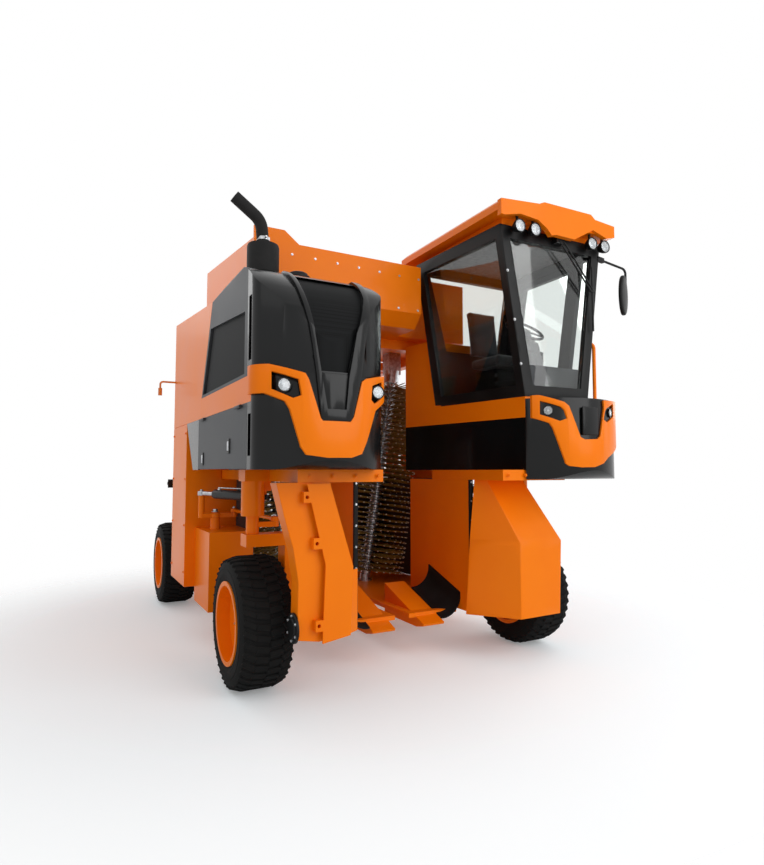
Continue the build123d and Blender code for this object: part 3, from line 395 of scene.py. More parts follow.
# %% Paint the solids
FINISH_OF = {
    "tyre": tyre_rubber, "steering_barrel": black_enamel, "steering_rod": zinc_steel, "shaker": fibre_rod,
    "cab_frame": black_enamel, "cab_door": black_enamel, "mirror": black_enamel, "exhaust": black_enamel,
    "air_intake": black_enamel, "leg_cap": black_enamel, "cab_base": black_gelcoat,
    "cab_controls": black_enamel,
    "engine_hood": black_gelcoat, "engine_chin": black_gelcoat, "service_door": charcoal_powder_coat,
    "hood_sides": charcoal_powder_coat,
    "grilles": perforated_sheet, "engine_block": cast_iron, "lamps": clear_lens, "cab_glass": tinted_glass,
    "door_glass": tinted_glass, "seat": seat_cloth, "marker_lamp": amber_lens, "rubber_aprons": sheet_rubber,
    "rotor_bearings": zinc_steel, "wiper": black_enamel,
}


def finish_for(node):
    """The finish of a node, by its whole name or the part before its place."""
    for key, finish in FINISH_OF.items():
        if node == key or node.startswith(key + "_left") or node.startswith(key + "_right"):
            return finish
        if node.startswith(key + "_front") or node.startswith(key + "_rear"):
            return finish
    return orange_enamel


for name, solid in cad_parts.items():
    solid.data.materials.clear()
    solid.data.materials.append(finish_for(name))
print("painted", len(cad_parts), "solids")

# %% [markdown]
# ## Soft edges on the panels
# Pressed and welded sheet never has a knife edge. The solids are loose
# triangles, so a Weld modifier joins them first, and a Bevel modifier then
# rounds every fold sharper than 40 degrees by a few millimetres. Highlights
# along the folds come from this alone.

# %% Round the panel folds
ROUNDED = {
    "hopper": 6, "upper_housing": 8, "side_cases": 8, "front_leg": 6, "leg_guard": 4, "wheel_cover": 6,
    "cab_roof": 9, "cab_sill": 5, "engine_fascia": 6, "engine_chin": 5, "engine_hood": 6, "service_door": 4,
    "rear_cabinet": 6, "cab_frame": 6, "cab_door": 5, "rear_tanks": 12, "elevators": 6, "steering_boxes": 6,
    "collector_trays": 4, "cab_base": 5, "mirror": 6, "main_frame": 4, "tunnel_walls": 2, "rear_legs": 5,
    "hood_sides": 4, "engine_block": 8, "access_ladder": 3, "cab_controls": 4,
}
for name, radius in ROUNDED.items():
    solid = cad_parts[name]
    weld = solid.modifiers.new("join", "WELD")
    weld.merge_threshold = 0.0002
    soften = solid.modifiers.new("fold", "BEVEL")
    soften.width = radius / 1000
    soften.segments = 2
    soften.limit_method = "ANGLE"
    soften.angle_limit = math.radians(40)
    soften.use_clamp_overlap = True
    soften.harden_normals = False
print("rounded", len(ROUNDED), "solids")

# %% [markdown]
# ## Making a piece
# Each new piece is one bmesh turned into an object at the origin, so patterns
# on Object coordinates stay put. The helper also names the body that carries it
# and the slot its finish comes from.

# %% Helpers for new pieces
def carry(bm, matrix):
    """Move or turn a whole form by a matrix."""
    bmesh.ops.transform(bm, matrix=matrix, verts=bm.verts)


def face_outward(bm):
    """Make the faces of a spun, bridged or mirrored form look outward."""
    bmesh.ops.recalc_face_normals(bm, faces=bm.faces)


def round_edges(bm, edges, radius, segments):
    """Round some edges of a form."""
    bmesh.ops.bevel(bm, geom=edges, offset=radius, affect="EDGES", segments=segments, profile=0.5,
                    material=-1)


def make_piece(name, bm, finishes, body, stands_for=(), smooth=35):
    """Turn a bmesh into a piece that rides on a body."""
    mesh = bpy.data.meshes.new(name)
    bm.to_mesh(mesh)
    bm.free()
    for finish in finishes:
        mesh.materials.append(finish)
    if smooth:
        mesh.shade_smooth()
        mesh.set_sharp_from_angle(angle=math.radians(smooth))
    made = bpy.data.objects.new(name, mesh)
    scene.collection.objects.link(made)
    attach(made, body)
    if stands_for:
        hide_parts(*stands_for)
    return made


def add_spin(bm, profile, steps, material=0, closed=False):
    """Spin an (along, radius) outline about X, and give its faces a slot."""
    known = set(bm.faces)
    verts = [bm.verts.new((x, 0, r)) for x, r in profile]
    pairs = list(zip(verts, verts[1:]))
    if closed:
        pairs.append((verts[-1], verts[0]))
    edges = [bm.edges.new(pair) for pair in pairs]
    bmesh.ops.spin(bm, geom=verts + edges, cent=(0, 0, 0), axis=(1, 0, 0), angle=math.tau,
                   steps=steps, use_merge=True)
    bmesh.ops.remove_doubles(bm, verts=bm.verts, dist=0.00001)
    for face in bm.faces:
        if face not in known:
            face.material_index = material


def copy_in(bm, source, matrix, material=None):
    """Add a copy of a finished bmesh, moved by a matrix."""
    carrier = bpy.data.meshes.new("carrier")
    source.to_mesh(carrier)
    count = len(bm.verts)
    faces = len(bm.faces)
    bm.from_mesh(carrier)
    bpy.data.meshes.remove(carrier)
    bm.verts.ensure_lookup_table()
    bm.faces.ensure_lookup_table()
    bmesh.ops.transform(bm, matrix=matrix, verts=bm.verts[count:])
    if material is not None:
        for face in bm.faces[faces:]:
            face.material_index = material


def box_form(size, bevel=0.0, segments=2):
    """A cube scaled to a size, with its edges rounded."""
    bm = bmesh.new()
    bmesh.ops.create_cube(bm, size=1.0)
    bmesh.ops.scale(bm, vec=size, verts=bm.verts)
    if bevel:
        round_edges(bm, bm.edges[:], bevel, segments)
    return bm


def mirrored(bm):
    """Turn a finished form into the other side's."""
    bmesh.ops.scale(bm, vec=(-1, 1, 1), verts=bm.verts)
    bmesh.ops.reverse_faces(bm, faces=bm.faces[:])


# %% [markdown]
# ## Tyres
# The real tyres are wide flotation tyres: smooth bulging sidewalls, rounded
# shoulders and rows of bent bars across the tread. The carcass is one outline
# spun round the axle. Each bar is two bevelled blocks that meet at an angle,
# copied round both halves of the tread with half a pitch between them.

# %% Tyres
WHEEL_X, WHEEL_Y, AXLE = 1350, 1720, 525
TYRE_R, LUG_H = 0.500, 0.014
BARS = 40
CORNERS = (("front_left", 1, -1), ("front_right", -1, -1), ("rear_left", 1, 1), ("rear_right", -1, 1))
tread = TYRE_R - LUG_H
carcass_line = [
    (-0.186, 0.291), (-0.189, 0.318), (-0.196, 0.336), (-0.1995, 0.372), (-0.1985, 0.400), (-0.1935, 0.432),
    (-0.181, 0.460), (-0.152, 0.477), (-0.100, tread - 0.002), (0.0, tread), (0.100, tread - 0.002),
    (0.152, 0.477), (0.181, 0.460), (0.1935, 0.432), (0.1985, 0.400), (0.1995, 0.372), (0.196, 0.336),
    (0.189, 0.318), (0.186, 0.291),
]
bar_inner = box_form((0.104, 0.050, 0.030), 0.006, 1)
bar_outer = box_form((0.100, 0.046, 0.034), 0.007, 1)
tyre_form = bmesh.new()
add_spin(tyre_form, carcass_line, 90)
for x, r in ((0.1975, 0.352), (0.1985, 0.408)):
    for side in (1, -1):
        rib = [(side * (x - 0.004), r - 0.005), (side * (x + 0.0015), r), (side * (x - 0.004), r + 0.005)]
        add_spin(tyre_form, rib, 90)
for i in range(BARS):
    for side in (1, -1):
        turn = turned(360 * (i + side / 4) / BARS, "X")
        inner = Matrix.Translation((side * 0.050, 0, TYRE_R - 0.0172)) @ turned(side * 9, "Z")
        bend = turned(side * 25, "Z") @ turned(side * 17, "Y")
        outer = Matrix.Translation((side * 0.138, side * 0.025, TYRE_R - 0.0305)) @ bend
        copy_in(tyre_form, bar_inner, turn @ inner)
        copy_in(tyre_form, bar_outer, turn @ outer)
bar_inner.free()
bar_outer.free()
for corner, side, end in CORNERS:
    tyre = tyre_form.copy()
    face_outward(tyre)
    if side < 0:
        mirrored(tyre)
    carry(tyre, moved(side * WHEEL_X, end * WHEEL_Y, AXLE))
    made = make_piece(f"flotation_tyre_{corner}", tyre, [tyre_rubber], f"wheel_{corner}",
                      [f"tyre_{corner}"])
    print(made.name, len(made.data.polygons), "faces")
tyre_form.free()

# %% [markdown]
# ## Wheel nuts and hub caps
# The rims keep their solids. Ten nuts on studs and a hub cap with six bolts sit
# on the outer face, all zinc-plated. One nut is made and copied round the ring.

# %% Wheel nuts
nut = bmesh.new()
bmesh.ops.create_cone(nut, cap_ends=True, segments=6, radius1=0.019, radius2=0.019, depth=0.022)
round_edges(nut, nut.edges[:], 0.002, 1)
stud = bmesh.new()
bmesh.ops.create_cone(stud, cap_ends=True, segments=12, radius1=0.010, radius2=0.009, depth=0.030)
lie = turned(90, "Y")
for corner, side, end in CORNERS:
    nuts = bmesh.new()
    for i in range(10):
        ring = turned(360 * i / 10, "X") @ Matrix.Translation((0, 0, 0.150))
        copy_in(nuts, nut, ring @ Matrix.Translation((0.066, 0, 0)) @ lie)
        copy_in(nuts, stud, ring @ Matrix.Translation((0.080, 0, 0)) @ lie)
    for i in range(6):
        ring = turned(360 * (i + 0.5) / 6, "X") @ Matrix.Translation((0.104, 0, 0.056))
        copy_in(nuts, nut, ring @ Matrix.Scale(0.5, 4) @ lie)
    add_spin(nuts, [(0.100, 0.0005), (0.112, 0.0005), (0.114, 0.030), (0.108, 0.042), (0.100, 0.044)], 40)
    face_outward(nuts)
    if side < 0:
        mirrored(nuts)
    carry(nuts, moved(side * WHEEL_X, end * WHEEL_Y, AXLE))
    make_piece(f"wheel_nuts_{corner}", nuts, [zinc_steel], f"wheel_{corner}")
nut.free()
stud.free()
print("nuts on four wheels")

# %% [markdown]
# ## Shaker rotors
# Each rotor is a steel tube with a pressed collar at every level and a ring of
# glass fibre rods in each collar. The rods are thin, straight and pale at the
# tip, and no two stand quite level, so each is tipped a little by a fixed
# sequence.

# %% Shaker rotors
LAYERS, RODS = 38, 28
ROTOR_FOOT, ROTOR_LEN, ROTOR_LEAN = (480, -70, 500), 2.250, 8.5
LEVELS = [0.055 + i * (ROTOR_LEN - 0.110) / (LAYERS - 1) for i in range(LAYERS)]
rod_form = bmesh.new()
bmesh.ops.create_cone(rod_form, cap_ends=True, segments=6, radius1=0.0075, radius2=0.0058, depth=0.335)
tip_form = bmesh.new()
bmesh.ops.create_cone(tip_form, cap_ends=True, segments=6, radius1=0.0068, radius2=0.0060, depth=0.016)
# Each rod ends in a short separate piece with a pale tone
pale_tip, shader = new_finish("pale_fibre_tip", "#D9D2BE", 0.5)
mottle(pale_tip, shader, "#E2DCCB", "#C9BFA6", 12)
rotor_form = bmesh.new()
tube = [
    (-0.050, 0.0005), (-0.050, 0.020), (-0.001, 0.020), (-0.001, 0.055), (ROTOR_LEN - 0.001, 0.055),
    (ROTOR_LEN - 0.001, 0.030), (ROTOR_LEN + 0.070, 0.030), (ROTOR_LEN + 0.070, 0.0005),
]
add_spin(rotor_form, tube, 32, 0)
for up in LEVELS:
    collar = [
        (up - 0.022, 0.054), (up - 0.018, 0.070), (up - 0.008, 0.081), (up + 0.008, 0.081),
        (up + 0.018, 0.070), (up + 0.022, 0.054),
    ]
    add_spin(rotor_form, collar, 32, 0)
carry(rotor_form, turned(-90, "Y"))
for i, up in enumerate(LEVELS):
    for j in range(RODS):
        tip_by = 1.1 * math.sin(7.3 * i + 11.9 * j)
        swing = 360 * (j + 0.5 * (i % 2)) / RODS + 1.6 * math.sin(5.1 * j + 3.7 * i)
        ray_at = Matrix.Translation((0, 0, up)) @ turned(swing, "Z") @ turned(tip_by, "Y")
        copy_in(rotor_form, rod_form, ray_at @ Matrix.Translation((0.2425, 0, 0)) @ lie, 1)
        copy_in(rotor_form, tip_form, ray_at @ Matrix.Translation((0.421, 0, 0)) @ lie, 2)
rod_form.free()
tip_form.free()
foot_x, foot_y, foot_z = ROTOR_FOOT
for side, name in SIDES:
    rotor = rotor_form.copy()
    face_outward(rotor)
    if side < 0:
        mirrored(rotor)
    carry(rotor, moved(side * foot_x, foot_y, foot_z) @ turned(side * ROTOR_LEAN, "Y"))
    made = make_piece(f"shaker_rotor_{name}", rotor, [zinc_steel, fibre_rod, pale_tip], f"shaker_{name}",
                      [f"shaker_{name}"])
    print(made.name, len(made.data.polygons), "faces")
rotor_form.free()

# %% [markdown]
# ## Closing plates round the rotors
# The row tunnel is dark behind the rods. A bulkhead behind each rotor joins the
# tunnel wall to the beam and has a folded lip, and a liner covers the inner face
# of the side case. Their charcoal is painted shade: dark sheets put where the
# tunnel lies in shadow, also over the orange side case. They are thin plates, so
# flat blocks with rounded edges are enough.

# %% Closing plates
BULKHEAD_Y, PLATE_T, PLATE_H, PLATE_MID = 640, 0.004, 1.176, 1010
bay_plates = bmesh.new()
bulkhead = box_form((0.672, PLATE_T, PLATE_H), 0.001, 1)
bulkhead_lip = box_form((0.030, 0.040, PLATE_H), 0.001, 1)
liner = box_form((PLATE_T, 1.540, PLATE_H), 0.001, 1)
for side in (1, -1):
    copy_in(bay_plates, bulkhead, moved(side * 912, BULKHEAD_Y, PLATE_MID))
    copy_in(bay_plates, bulkhead_lip, moved(side * 1233, BULKHEAD_Y + 20, PLATE_MID))
    copy_in(bay_plates, liner, moved(side * 1097, -130, PLATE_MID))
bulkhead.free()
bulkhead_lip.free()
liner.free()
# The charcoal of the bulkheads and liners is painted shade for the dark tunnel
make_piece("rotor_bay_shade_plates", bay_plates, [charcoal_powder_coat], "chassis")
print("closing plates behind the rotors ready")

# %% [markdown]
# ## Exhaust
# The stack is a rolled muffler shell with a bead, a thinner pipe above it and a
# bend cut off square at the tip. The shell is spun. A curve's own bevel has no
# wall, so the pipe is made of inner and outer rings, carried along the bend and
# bridged.

# %% Exhaust
def add_tube(bm, points, radius, wall, sides=28, material=0):
    """An open tube with a wall, run along points by carrying one ring from place to place."""
    rings = []
    for i, here in enumerate(points):
        before = points[max(i - 1, 0)]
        after = points[min(i + 1, len(points) - 1)]
        turn = (after - before).to_track_quat("Z", "Y").to_matrix().to_4x4()
        pair = []
        for r in (radius, radius - wall):
            made = bmesh.ops.create_circle(bm, cap_ends=False, segments=sides, radius=r,
                                           matrix=Matrix.Translation(here) @ turn)
            pair.append(list({e for v in made["verts"] for e in v.link_edges}))
        rings.append(pair)
    faces = []
    for low, high in zip(rings, rings[1:]):
        for k in (0, 1):
            faces += bmesh.ops.bridge_loops(bm, edges=low[k] + high[k])["faces"]
    for end in (rings[0], rings[-1]):
        faces += bmesh.ops.bridge_loops(bm, edges=end[0] + end[1])["faces"]
    for face in faces:
        face.material_index = material


def bend_points(a, b, c, radius, steps=10):
    """A straight run, a round bend and a second run, as points."""
    back = (a - b).normalized()
    on = (c - b).normalized()
    half = back.angle(on) / 2
    reach = radius / math.tan(half)
    centre = b + (back + on).normalized() * (radius / math.sin(half))
    start = b + back * reach - centre
    end = b + on * reach - centre
    turned = [centre + start.slerp(end, i / steps) * radius for i in range(steps + 1)]
    return [a, *turned, c]


STACK = (-1280, -1680)
shell = bmesh.new()
muffler = [
    (3.140, 0.0005), (3.140, 0.100), (3.150, 0.126), (3.156, 0.130), (3.270, 0.130), (3.272, 0.127),
    (3.280, 0.127), (3.282, 0.130), (3.500, 0.130), (3.520, 0.124), (3.532, 0.090), (3.548, 0.060),
    (3.552, 0.050), (3.552, 0.0005),
]
add_spin(shell, muffler, 48)
add_spin(shell, [(2.650, 0.046), (2.650, 0.050), (3.141, 0.050), (3.141, 0.046)], 32, 0, True)
clamp = [(3.560, 0.0495), (3.560, 0.0545), (3.585, 0.0545), (3.585, 0.0495)]
add_spin(shell, clamp, 32, 1, True)
carry(shell, turned(-90, "Y"))
carry(shell, Matrix.Translation((STACK[0] / 1000, STACK[1] / 1000, 0)))
bolt = box_form((0.016, 0.040, 0.014), 0.002, 1)
copy_in(shell, bolt, Matrix.Translation((STACK[0] / 1000, STACK[1] / 1000 - 0.066, 3.572)), 1)
bolt.free()
foot = Vector((STACK[0], STACK[1], 3520)) / 1000
knee = Vector((STACK[0] - 20, STACK[1], 3725)) / 1000
tip = Vector((STACK[0] - 243, STACK[1], 3883)) / 1000
add_tube(shell, bend_points(foot, knee, tip, 0.150), 0.050, 0.004)
carry(shell, Matrix.Translation(SHIFT))
face_outward(shell)
made = make_piece("exhaust_stack", shell, [stack_enamel, zinc_steel], "chassis", ["exhaust"])
print(made.name, len(made.data.polygons), "faces")

# %% [markdown]
# ## Lamps
# A lamp is four turned parts: a black housing, a bright reflector bowl with its
# bulb shield, a rim and a ribbed lens. One outline of each is spun and then
# copied to the eight places, at three sizes.

# %% Lamps
def lamp_form(radius, depth):
    """A round lamp that looks along X, its lens at zero."""
    bm = bmesh.new()
    r = radius
    housing = [
        (-depth, 0.0005), (-depth, 0.62 * r), (-0.55 * depth, 0.90 * r), (-0.25 * depth, r), (-0.003, r),
        (0, 0.985 * r), (0, 0.90 * r), (-0.006, 0.87 * r), (-0.25 * depth, 0.86 * r),
    ]
    add_spin(bm, housing, 32, 0)
    bowl = [
        (-0.006, 0.868 * r), (-0.16 * depth, 0.80 * r), (-0.42 * depth, 0.55 * r), (-0.52 * depth, 0.28 * r),
        (-0.52 * depth, 0.0005),
    ]
    add_spin(bm, bowl, 32, 1)
    shield = [
        (-0.50 * depth, 0.20 * r), (-0.30 * depth, 0.22 * r), (-0.24 * depth, 0.14 * r),
        (-0.23 * depth, 0.0005),
    ]
    add_spin(bm, shield, 20, 1)
    lens = [(-0.007, 0.0005), (-0.008, 0.86 * r), (-0.005, 0.865 * r), (-0.002, 0.55 * r), (-0.001, 0.0005)]
    add_spin(bm, lens, 32, 2)
    face_outward(bm)
    return bm


mirror_bright, shader = new_finish("vapour_coated_reflector", "#E8EAEC", 0.10, 1.0)
place, drift = mottle(mirror_bright, shader, "#F2F3F4", "#DADDDF", 25)
vary_roughness(mirror_bright, shader, drift, 0.06, 0.14)
to_front = turned(-90, "Z")
lamps = bmesh.new()
work_lamp = lamp_form(0.058, 0.072)
bracket = box_form((0.022, 0.018, 0.080), 0.003, 1)
for x in (697, 872, 1562, 1724):
    copy_in(lamps, work_lamp, moved(x, -2549, 3768) @ to_front)
    copy_in(lamps, bracket, moved(x, -2505, 3838), 0)
bracket.free()
head_lamp = lamp_form(0.047, 0.050)
for x, z in ((-1439, 2235), (-755, 2227)):
    copy_in(lamps, head_lamp, moved(x, -2704, z) @ to_front)
side_lamp = lamp_form(0.041, 0.030)
for x, z, y, turn in ((923, 2191, -2601, -40), (1557, 2191, -2705, 21)):
    copy_in(lamps, side_lamp, moved(x, y, z) @ turned(turn, "Z") @ to_front)
for form in (work_lamp, head_lamp, side_lamp):
    form.free()
lamp_finishes = [black_enamel, mirror_bright, clear_lens]
made = make_piece("round_lamps", lamps, lamp_finishes, "chassis", ["lamps"])
print(made.name, len(made.data.polygons), "faces")

# %% [markdown]
# ## Air intake
# A rain cap over the intake pipe: a domed lid with a rolled edge. It is one
# outline, spun upright.

# %% Air intake
intake = bmesh.new()
rain_cap = [
    (2.650, 0.0005), (2.650, 0.045), (3.195, 0.045), (3.200, 0.060), (3.204, 0.092), (3.212, 0.098),
    (3.222, 0.0995), (3.230, 0.097), (3.234, 0.082), (3.240, 0.080), (3.252, 0.078), (3.262, 0.060),
    (3.269, 0.030), (3.2695, 0.0005),
]
add_spin(intake, rain_cap, 40)
carry(intake, turned(-90, "Y"))
carry(intake, Matrix.Translation(Vector((-1.060, -1.900, 0)) + SHIFT))
face_outward(intake)
made = make_piece("intake_cap", intake, [black_enamel], "chassis", ["air_intake"])
print(made.name, len(made.data.polygons), "faces")

# %% [markdown]
# ## Driver's seat
# The seat is foam under cloth, so its pads swell between their corners and
# pull in along the seams. Each pad starts a little small, is remeshed to an
# even grid and is blown up by the cloth solver with the movement capped. The
# base is a bellows over the suspension.

# %% Seat pads
def padded_form(name, bm, cap):
    """Swell a closed form with cloth pressure and return the pad."""
    mesh = bpy.data.meshes.new(name)
    bm.to_mesh(mesh)
    bm.free()
    pad = bpy.data.objects.new(name, mesh)
    scene.collection.objects.link(pad)
    bpy.context.view_layer.objects.active = pad
    grid = pad.modifiers.new("grid", "REMESH")
    grid.mode = "VOXEL"
    grid.voxel_size = 0.006
    bpy.ops.object.modifier_apply(modifier=grid.name)
    start = [v.co.copy() for v in pad.data.vertices]
    cloth = pad.modifiers.new("swell", "CLOTH")
    cloth.settings.use_pressure = True
    cloth.settings.uniform_pressure_force = 4.0
    cloth.settings.effector_weights.gravity = 0.0
    cloth.settings.quality = 4
    cloth.point_cache.frame_end = 20
    for number in range(1, 21):
        scene.frame_set(number)
    held = pad.evaluated_get(bpy.context.evaluated_depsgraph_get()).to_mesh()
    moved = [v.co.copy() for v in held.vertices]
    pad.modifiers.remove(cloth)
    scene.frame_set(1)
    for vert, a, b in zip(pad.data.vertices, start, moved):
        step = b - a
        vert.co = a + step * min(1.0, cap / max(step.length, 1e-6))
    pad.data.shade_smooth()
    soft = pad.modifiers.new("smooth", "SUBSURF")
    soft.levels = 1
    soft.render_levels = 1
    pad.data.materials.append(seat_cloth)
    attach(pad, "chassis")
    return pad


cushion = box_form((0.360, 0.440, 0.076), 0.020, 2)
carry(cushion, moved(1080, -1772, 2735))
cushion_pad = padded_form("seat_cushion", cushion, 0.012)
back = box_form((0.340, 0.070, 0.480), 0.022, 2)
recline = turned(-8, "X")
carry(back, moved(1080, -1530, 3058) @ recline)
back_pad = padded_form("seat_back", back, 0.012)
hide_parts("seat")
bellows = bmesh.new()
quarter = turned(45, "Z")
rings = []
for i in range(9):
    fold = 0.0 if i % 2 else 0.018
    level = Matrix.Translation((0, 0, 2.330 + i * 0.040)) @ quarter
    reach = (0.165 + fold) * 1.35
    ring = bmesh.ops.create_circle(bellows, cap_ends=False, segments=4, radius=reach, matrix=level)
    rings.append(list({e for v in ring["verts"] for e in v.link_edges}))
for low, high in zip(rings, rings[1:]):
    bmesh.ops.bridge_loops(bellows, edges=low + high)
for end in (rings[0], rings[-1]):
    bmesh.ops.edgeloop_fill(bellows, edges=end)
upright_edges = [e for e in bellows.edges if abs(e.verts[0].co.z - e.verts[1].co.z) > 0.01]
round_edges(bellows, upright_edges, 0.030, 3)
bmesh.ops.scale(bellows, vec=(0.90, 0.98, 1), verts=bellows.verts)
carry(bellows, Matrix.Translation(Vector((1.080, -1.755, 0)) + SHIFT))
face_outward(bellows)
make_piece("seat_bellows", bellows, [sheet_rubber], "chassis", smooth=50)
print("seat:", len(cushion_pad.data.vertices), len(back_pad.data.vertices), "points")

# %% [markdown]
# ## Cab controls
# A wheel with a round rim and three spokes on a leaning column, a dash, and a
# console with keys and a knobbed lever. These replace the plain ring and blocks.

# %% Cab controls
controls = bmesh.new()
GRIP, WHEEL_R = 0.0125, 0.1765
angles = [math.tau * i / 12 for i in range(12)]
rim_line = [(GRIP * math.cos(a), WHEEL_R + GRIP * math.sin(a)) for a in angles]
add_spin(controls, rim_line, 48, 0, True)
wheel_hub = [(-0.030, 0.0005), (-0.030, 0.040), (0.004, 0.046), (0.010, 0.036), (0.010, 0.0005)]
add_spin(controls, wheel_hub, 28, 0)
carry(controls, turned(-90, "Y"))
spoke = box_form((0.140, 0.032, 0.010), 0.004, 2)
for i in range(3):
    copy_in(controls, spoke, turned(90 + 120 * i, "Z") @ Matrix.Translation((0.105, 0, -0.004)), 0)
spoke.free()
carry(controls, moved(1080, -2150, 2985) @ turned(38, "X"))
add_tube(controls, [at(1080, -2330, 2330), at(1080, -2270, 2620), at(1080, -2165, 2965)], 0.040, 0.004, 24, 1)
dash = box_form((0.150, 0.090, 0.110), 0.020, 3)
copy_in(controls, dash, moved(1080, -2228, 2800) @ turned(-18, "X"), 1)
dash.free()
console = box_form((0.116, 0.480, 0.515), 0.022, 3)
copy_in(controls, console, moved(1360, -1805, 2580), 1)
console.free()
lever = bmesh.new()
bmesh.ops.create_cone(lever, cap_ends=True, segments=16, radius1=0.011, radius2=0.008, depth=0.110)
carry(lever, Matrix.Translation((0, 0, 0.055)))
knob = bmesh.new()
bmesh.ops.create_uvsphere(knob, u_segments=20, v_segments=12, radius=0.026)
bmesh.ops.scale(knob, vec=(0.75, 1.0, 1.55), verts=knob.verts)
copy_in(controls, lever, moved(1360, -1950, 2836), 2)
copy_in(controls, knob, moved(1360, -1950, 2955), 0)
lever.free()
knob.free()
pads = box_form((0.014, 0.014, 0.006), 0.002, 1)
for i in range(4):
    for j in range(2):
        copy_in(controls, pads, moved(1345 + 30 * j, -1850 + 34 * i, 2839), 2)
pads.free()
face_outward(controls)
control_finishes = [black_enamel, charcoal_powder_coat, zinc_steel]
made = make_piece("cab_wheel_and_console", controls, control_finishes, "chassis",
                  ["cab_controls"])
print(made.name, len(made.data.polygons), "faces")

# %% [markdown]
# ## Bolts and nuts
# Panels are held by hexagon heads on washers. One head is made once, and each
# row gives its places and the way it faces.

# %% Bolt heads
bolt_head = bmesh.new()
bmesh.ops.create_cone(bolt_head, cap_ends=True, segments=6, radius1=0.011, radius2=0.011, depth=0.009)
round_edges(bolt_head, bolt_head.edges[:], 0.0012, 1)
carry(bolt_head, Matrix.Translation((0, 0, 0.0075)))
washer = bmesh.new()
bmesh.ops.create_cone(washer, cap_ends=True, segments=16, radius1=0.016, radius2=0.0155, depth=0.003)
carry(washer, Matrix.Translation((0, 0, 0.0015)))
copy_in(bolt_head, washer, Matrix.Identity(4))
washer.free()


def bolt_row(name, body, facing, places, size=1.0, finish=zinc_steel):
    """Bolt heads at places in millimetres, all facing one way."""
    bm = bmesh.new()
    turn = Vector(facing).to_track_quat("Z", "Y").to_matrix().to_4x4()
    for x, y, z in places:
        copy_in(bm, bolt_head, moved(x, y, z) @ turn @ Matrix.Scale(size, 4))
    return make_piece(name, bm, [finish], body)


hopper_rows = [(x, -1400, 3600 - 0.02 * (x + 900)) for x in range(-1150, 400, 220)]
hopper_rows += [(x, -1400, 3260) for x in range(-500, 400, 220)]
bolt_row("hopper_bolts", "chassis", (0, -1, 0), hopper_rows, 0.7)
strip_rows = [(side * 576, -1985, z) for side in (1, -1) for z in range(560, 1600, 170)]
bolt_row("strip_bolts", "chassis", (0, -1, 0), strip_rows, 0.6)
case_spots = [(y, z) for y in (-250, 410) for z in (700, 1150, 1600, 2050)]
for side, name in ((-1, "right"), (1, "left")):
    case_rows = [(side * 1600, y, z) for y, z in case_spots]
    bolt_row(f"case_bolts_{name}", "chassis", (side, 0, 0), case_rows, 0.8, orange_enamel)
stud_rows = [(640, -2440, 3400), (708, -2443, 2980), (768, -2447, 2600)]
bolt_row("glass_studs", "chassis", (0, -1, 0), stud_rows, 0.8)
beam_rows = [(side * x, -2450, 1645) for side in (1, -1) for x in (620, 800, 980, 1160)]
bolt_row("beam_bolts", "chassis", (0, -1, 0), beam_rows, 0.9, orange_enamel)
for side, name in SIDES:
    bolt_row(f"crank_nuts_{name}", "chassis", (0, 0, 1), [(side * 1370, -550, 1292)], 2.2)
    bolt_row(f"arm_nuts_{name}", f"bell_crank_{name}", (0, 0, 1), [(side * 1190, -550, 1324)], 1.2)
    bolt_row(f"king_nuts_{name}", f"knuckle_{name}", (0, 0, 1), [(side * 1170, -1720, 1324)], 1.2)
    bolt_row(f"ram_nuts_{name}", f"steering_rod_{name}", (0, 0, 1), [(side * 1500, -550, 1489)], 1.4)
print("bolt rows ready")

# %% [markdown]
# ## Hub cap on the leg
# The leg's foot ends in a cast cap held by six bolts. It is a shallow spun dish
# with the bolts in a ring, facing outward.

# %% Leg cap
cap = bmesh.new()
dish = [(0.0, 0.104), (0.012, 0.104), (0.018, 0.098), (0.018, 0.070), (0.026, 0.062), (0.028, 0.0005)]
add_spin(cap, dish, 48)
for i in range(6):
    ring = turned(360 * i / 6, "X") @ Matrix.Translation((0.017, 0, 0.084))
    copy_in(cap, bolt_head, ring @ lie @ Matrix.Scale(0.8, 4), 1)
mirrored(cap)
carry(cap, moved(-1241, -2380, 600))
face_outward(cap)
make_piece("leg_hub_cap", cap, [black_enamel, zinc_steel], "chassis", ["leg_cap"])

# %% [markdown]
# ## Mirror
# A bent rod in a cast bracket carries an oval head. The head is a circle
# stretched to an oval, pushed to a thickness and rounded, with the glass as a
# shallow second oval on the side that faces the driver.

# %% Mirror
mirror_form = bmesh.new()
arm = bend_points(at(1700, -2445, 3688), at(2113, -2445, 3641), at(2113, -2445, 3260), 0.050)
add_tube(mirror_form, arm, 0.011, 0.003, 16)
bracket = box_form((0.090, 0.036, 0.050), 0.010, 2)
copy_in(mirror_form, bracket, moved(1765, -2445, 3680) @ turned(6, "Y"))
bracket.free()
joint = bmesh.new()
bmesh.ops.create_uvsphere(joint, u_segments=20, v_segments=12, radius=0.020)
copy_in(mirror_form, joint, moved(2106, -2447, 3370))
joint.free()
head = bmesh.new()
bmesh.ops.create_circle(head, cap_ends=True, segments=40, radius=1.0)
bmesh.ops.scale(head, vec=(0.082, 0.196, 1), verts=head.verts)
grown = bmesh.ops.extrude_face_region(head, geom=head.faces[:])
far_verts = [v for v in grown["geom"] if isinstance(v, bmesh.types.BMVert)]
bmesh.ops.translate(head, vec=(0, 0, 0.040), verts=far_verts)
face_outward(head)
rims = [e for e in head.edges if abs(e.verts[0].co.z - e.verts[1].co.z) < 0.001]
round_edges(head, rims, 0.015, 4)
face_out = [f for f in head.faces if len(f.verts) > 20 and f.calc_center_median().z < 0.005]
bmesh.ops.inset_region(head, faces=face_out, thickness=0.006, depth=-0.003)
for face in face_out:
    face.material_index = 1
stand_up = turned(20, "Z") @ turned(90, "X")
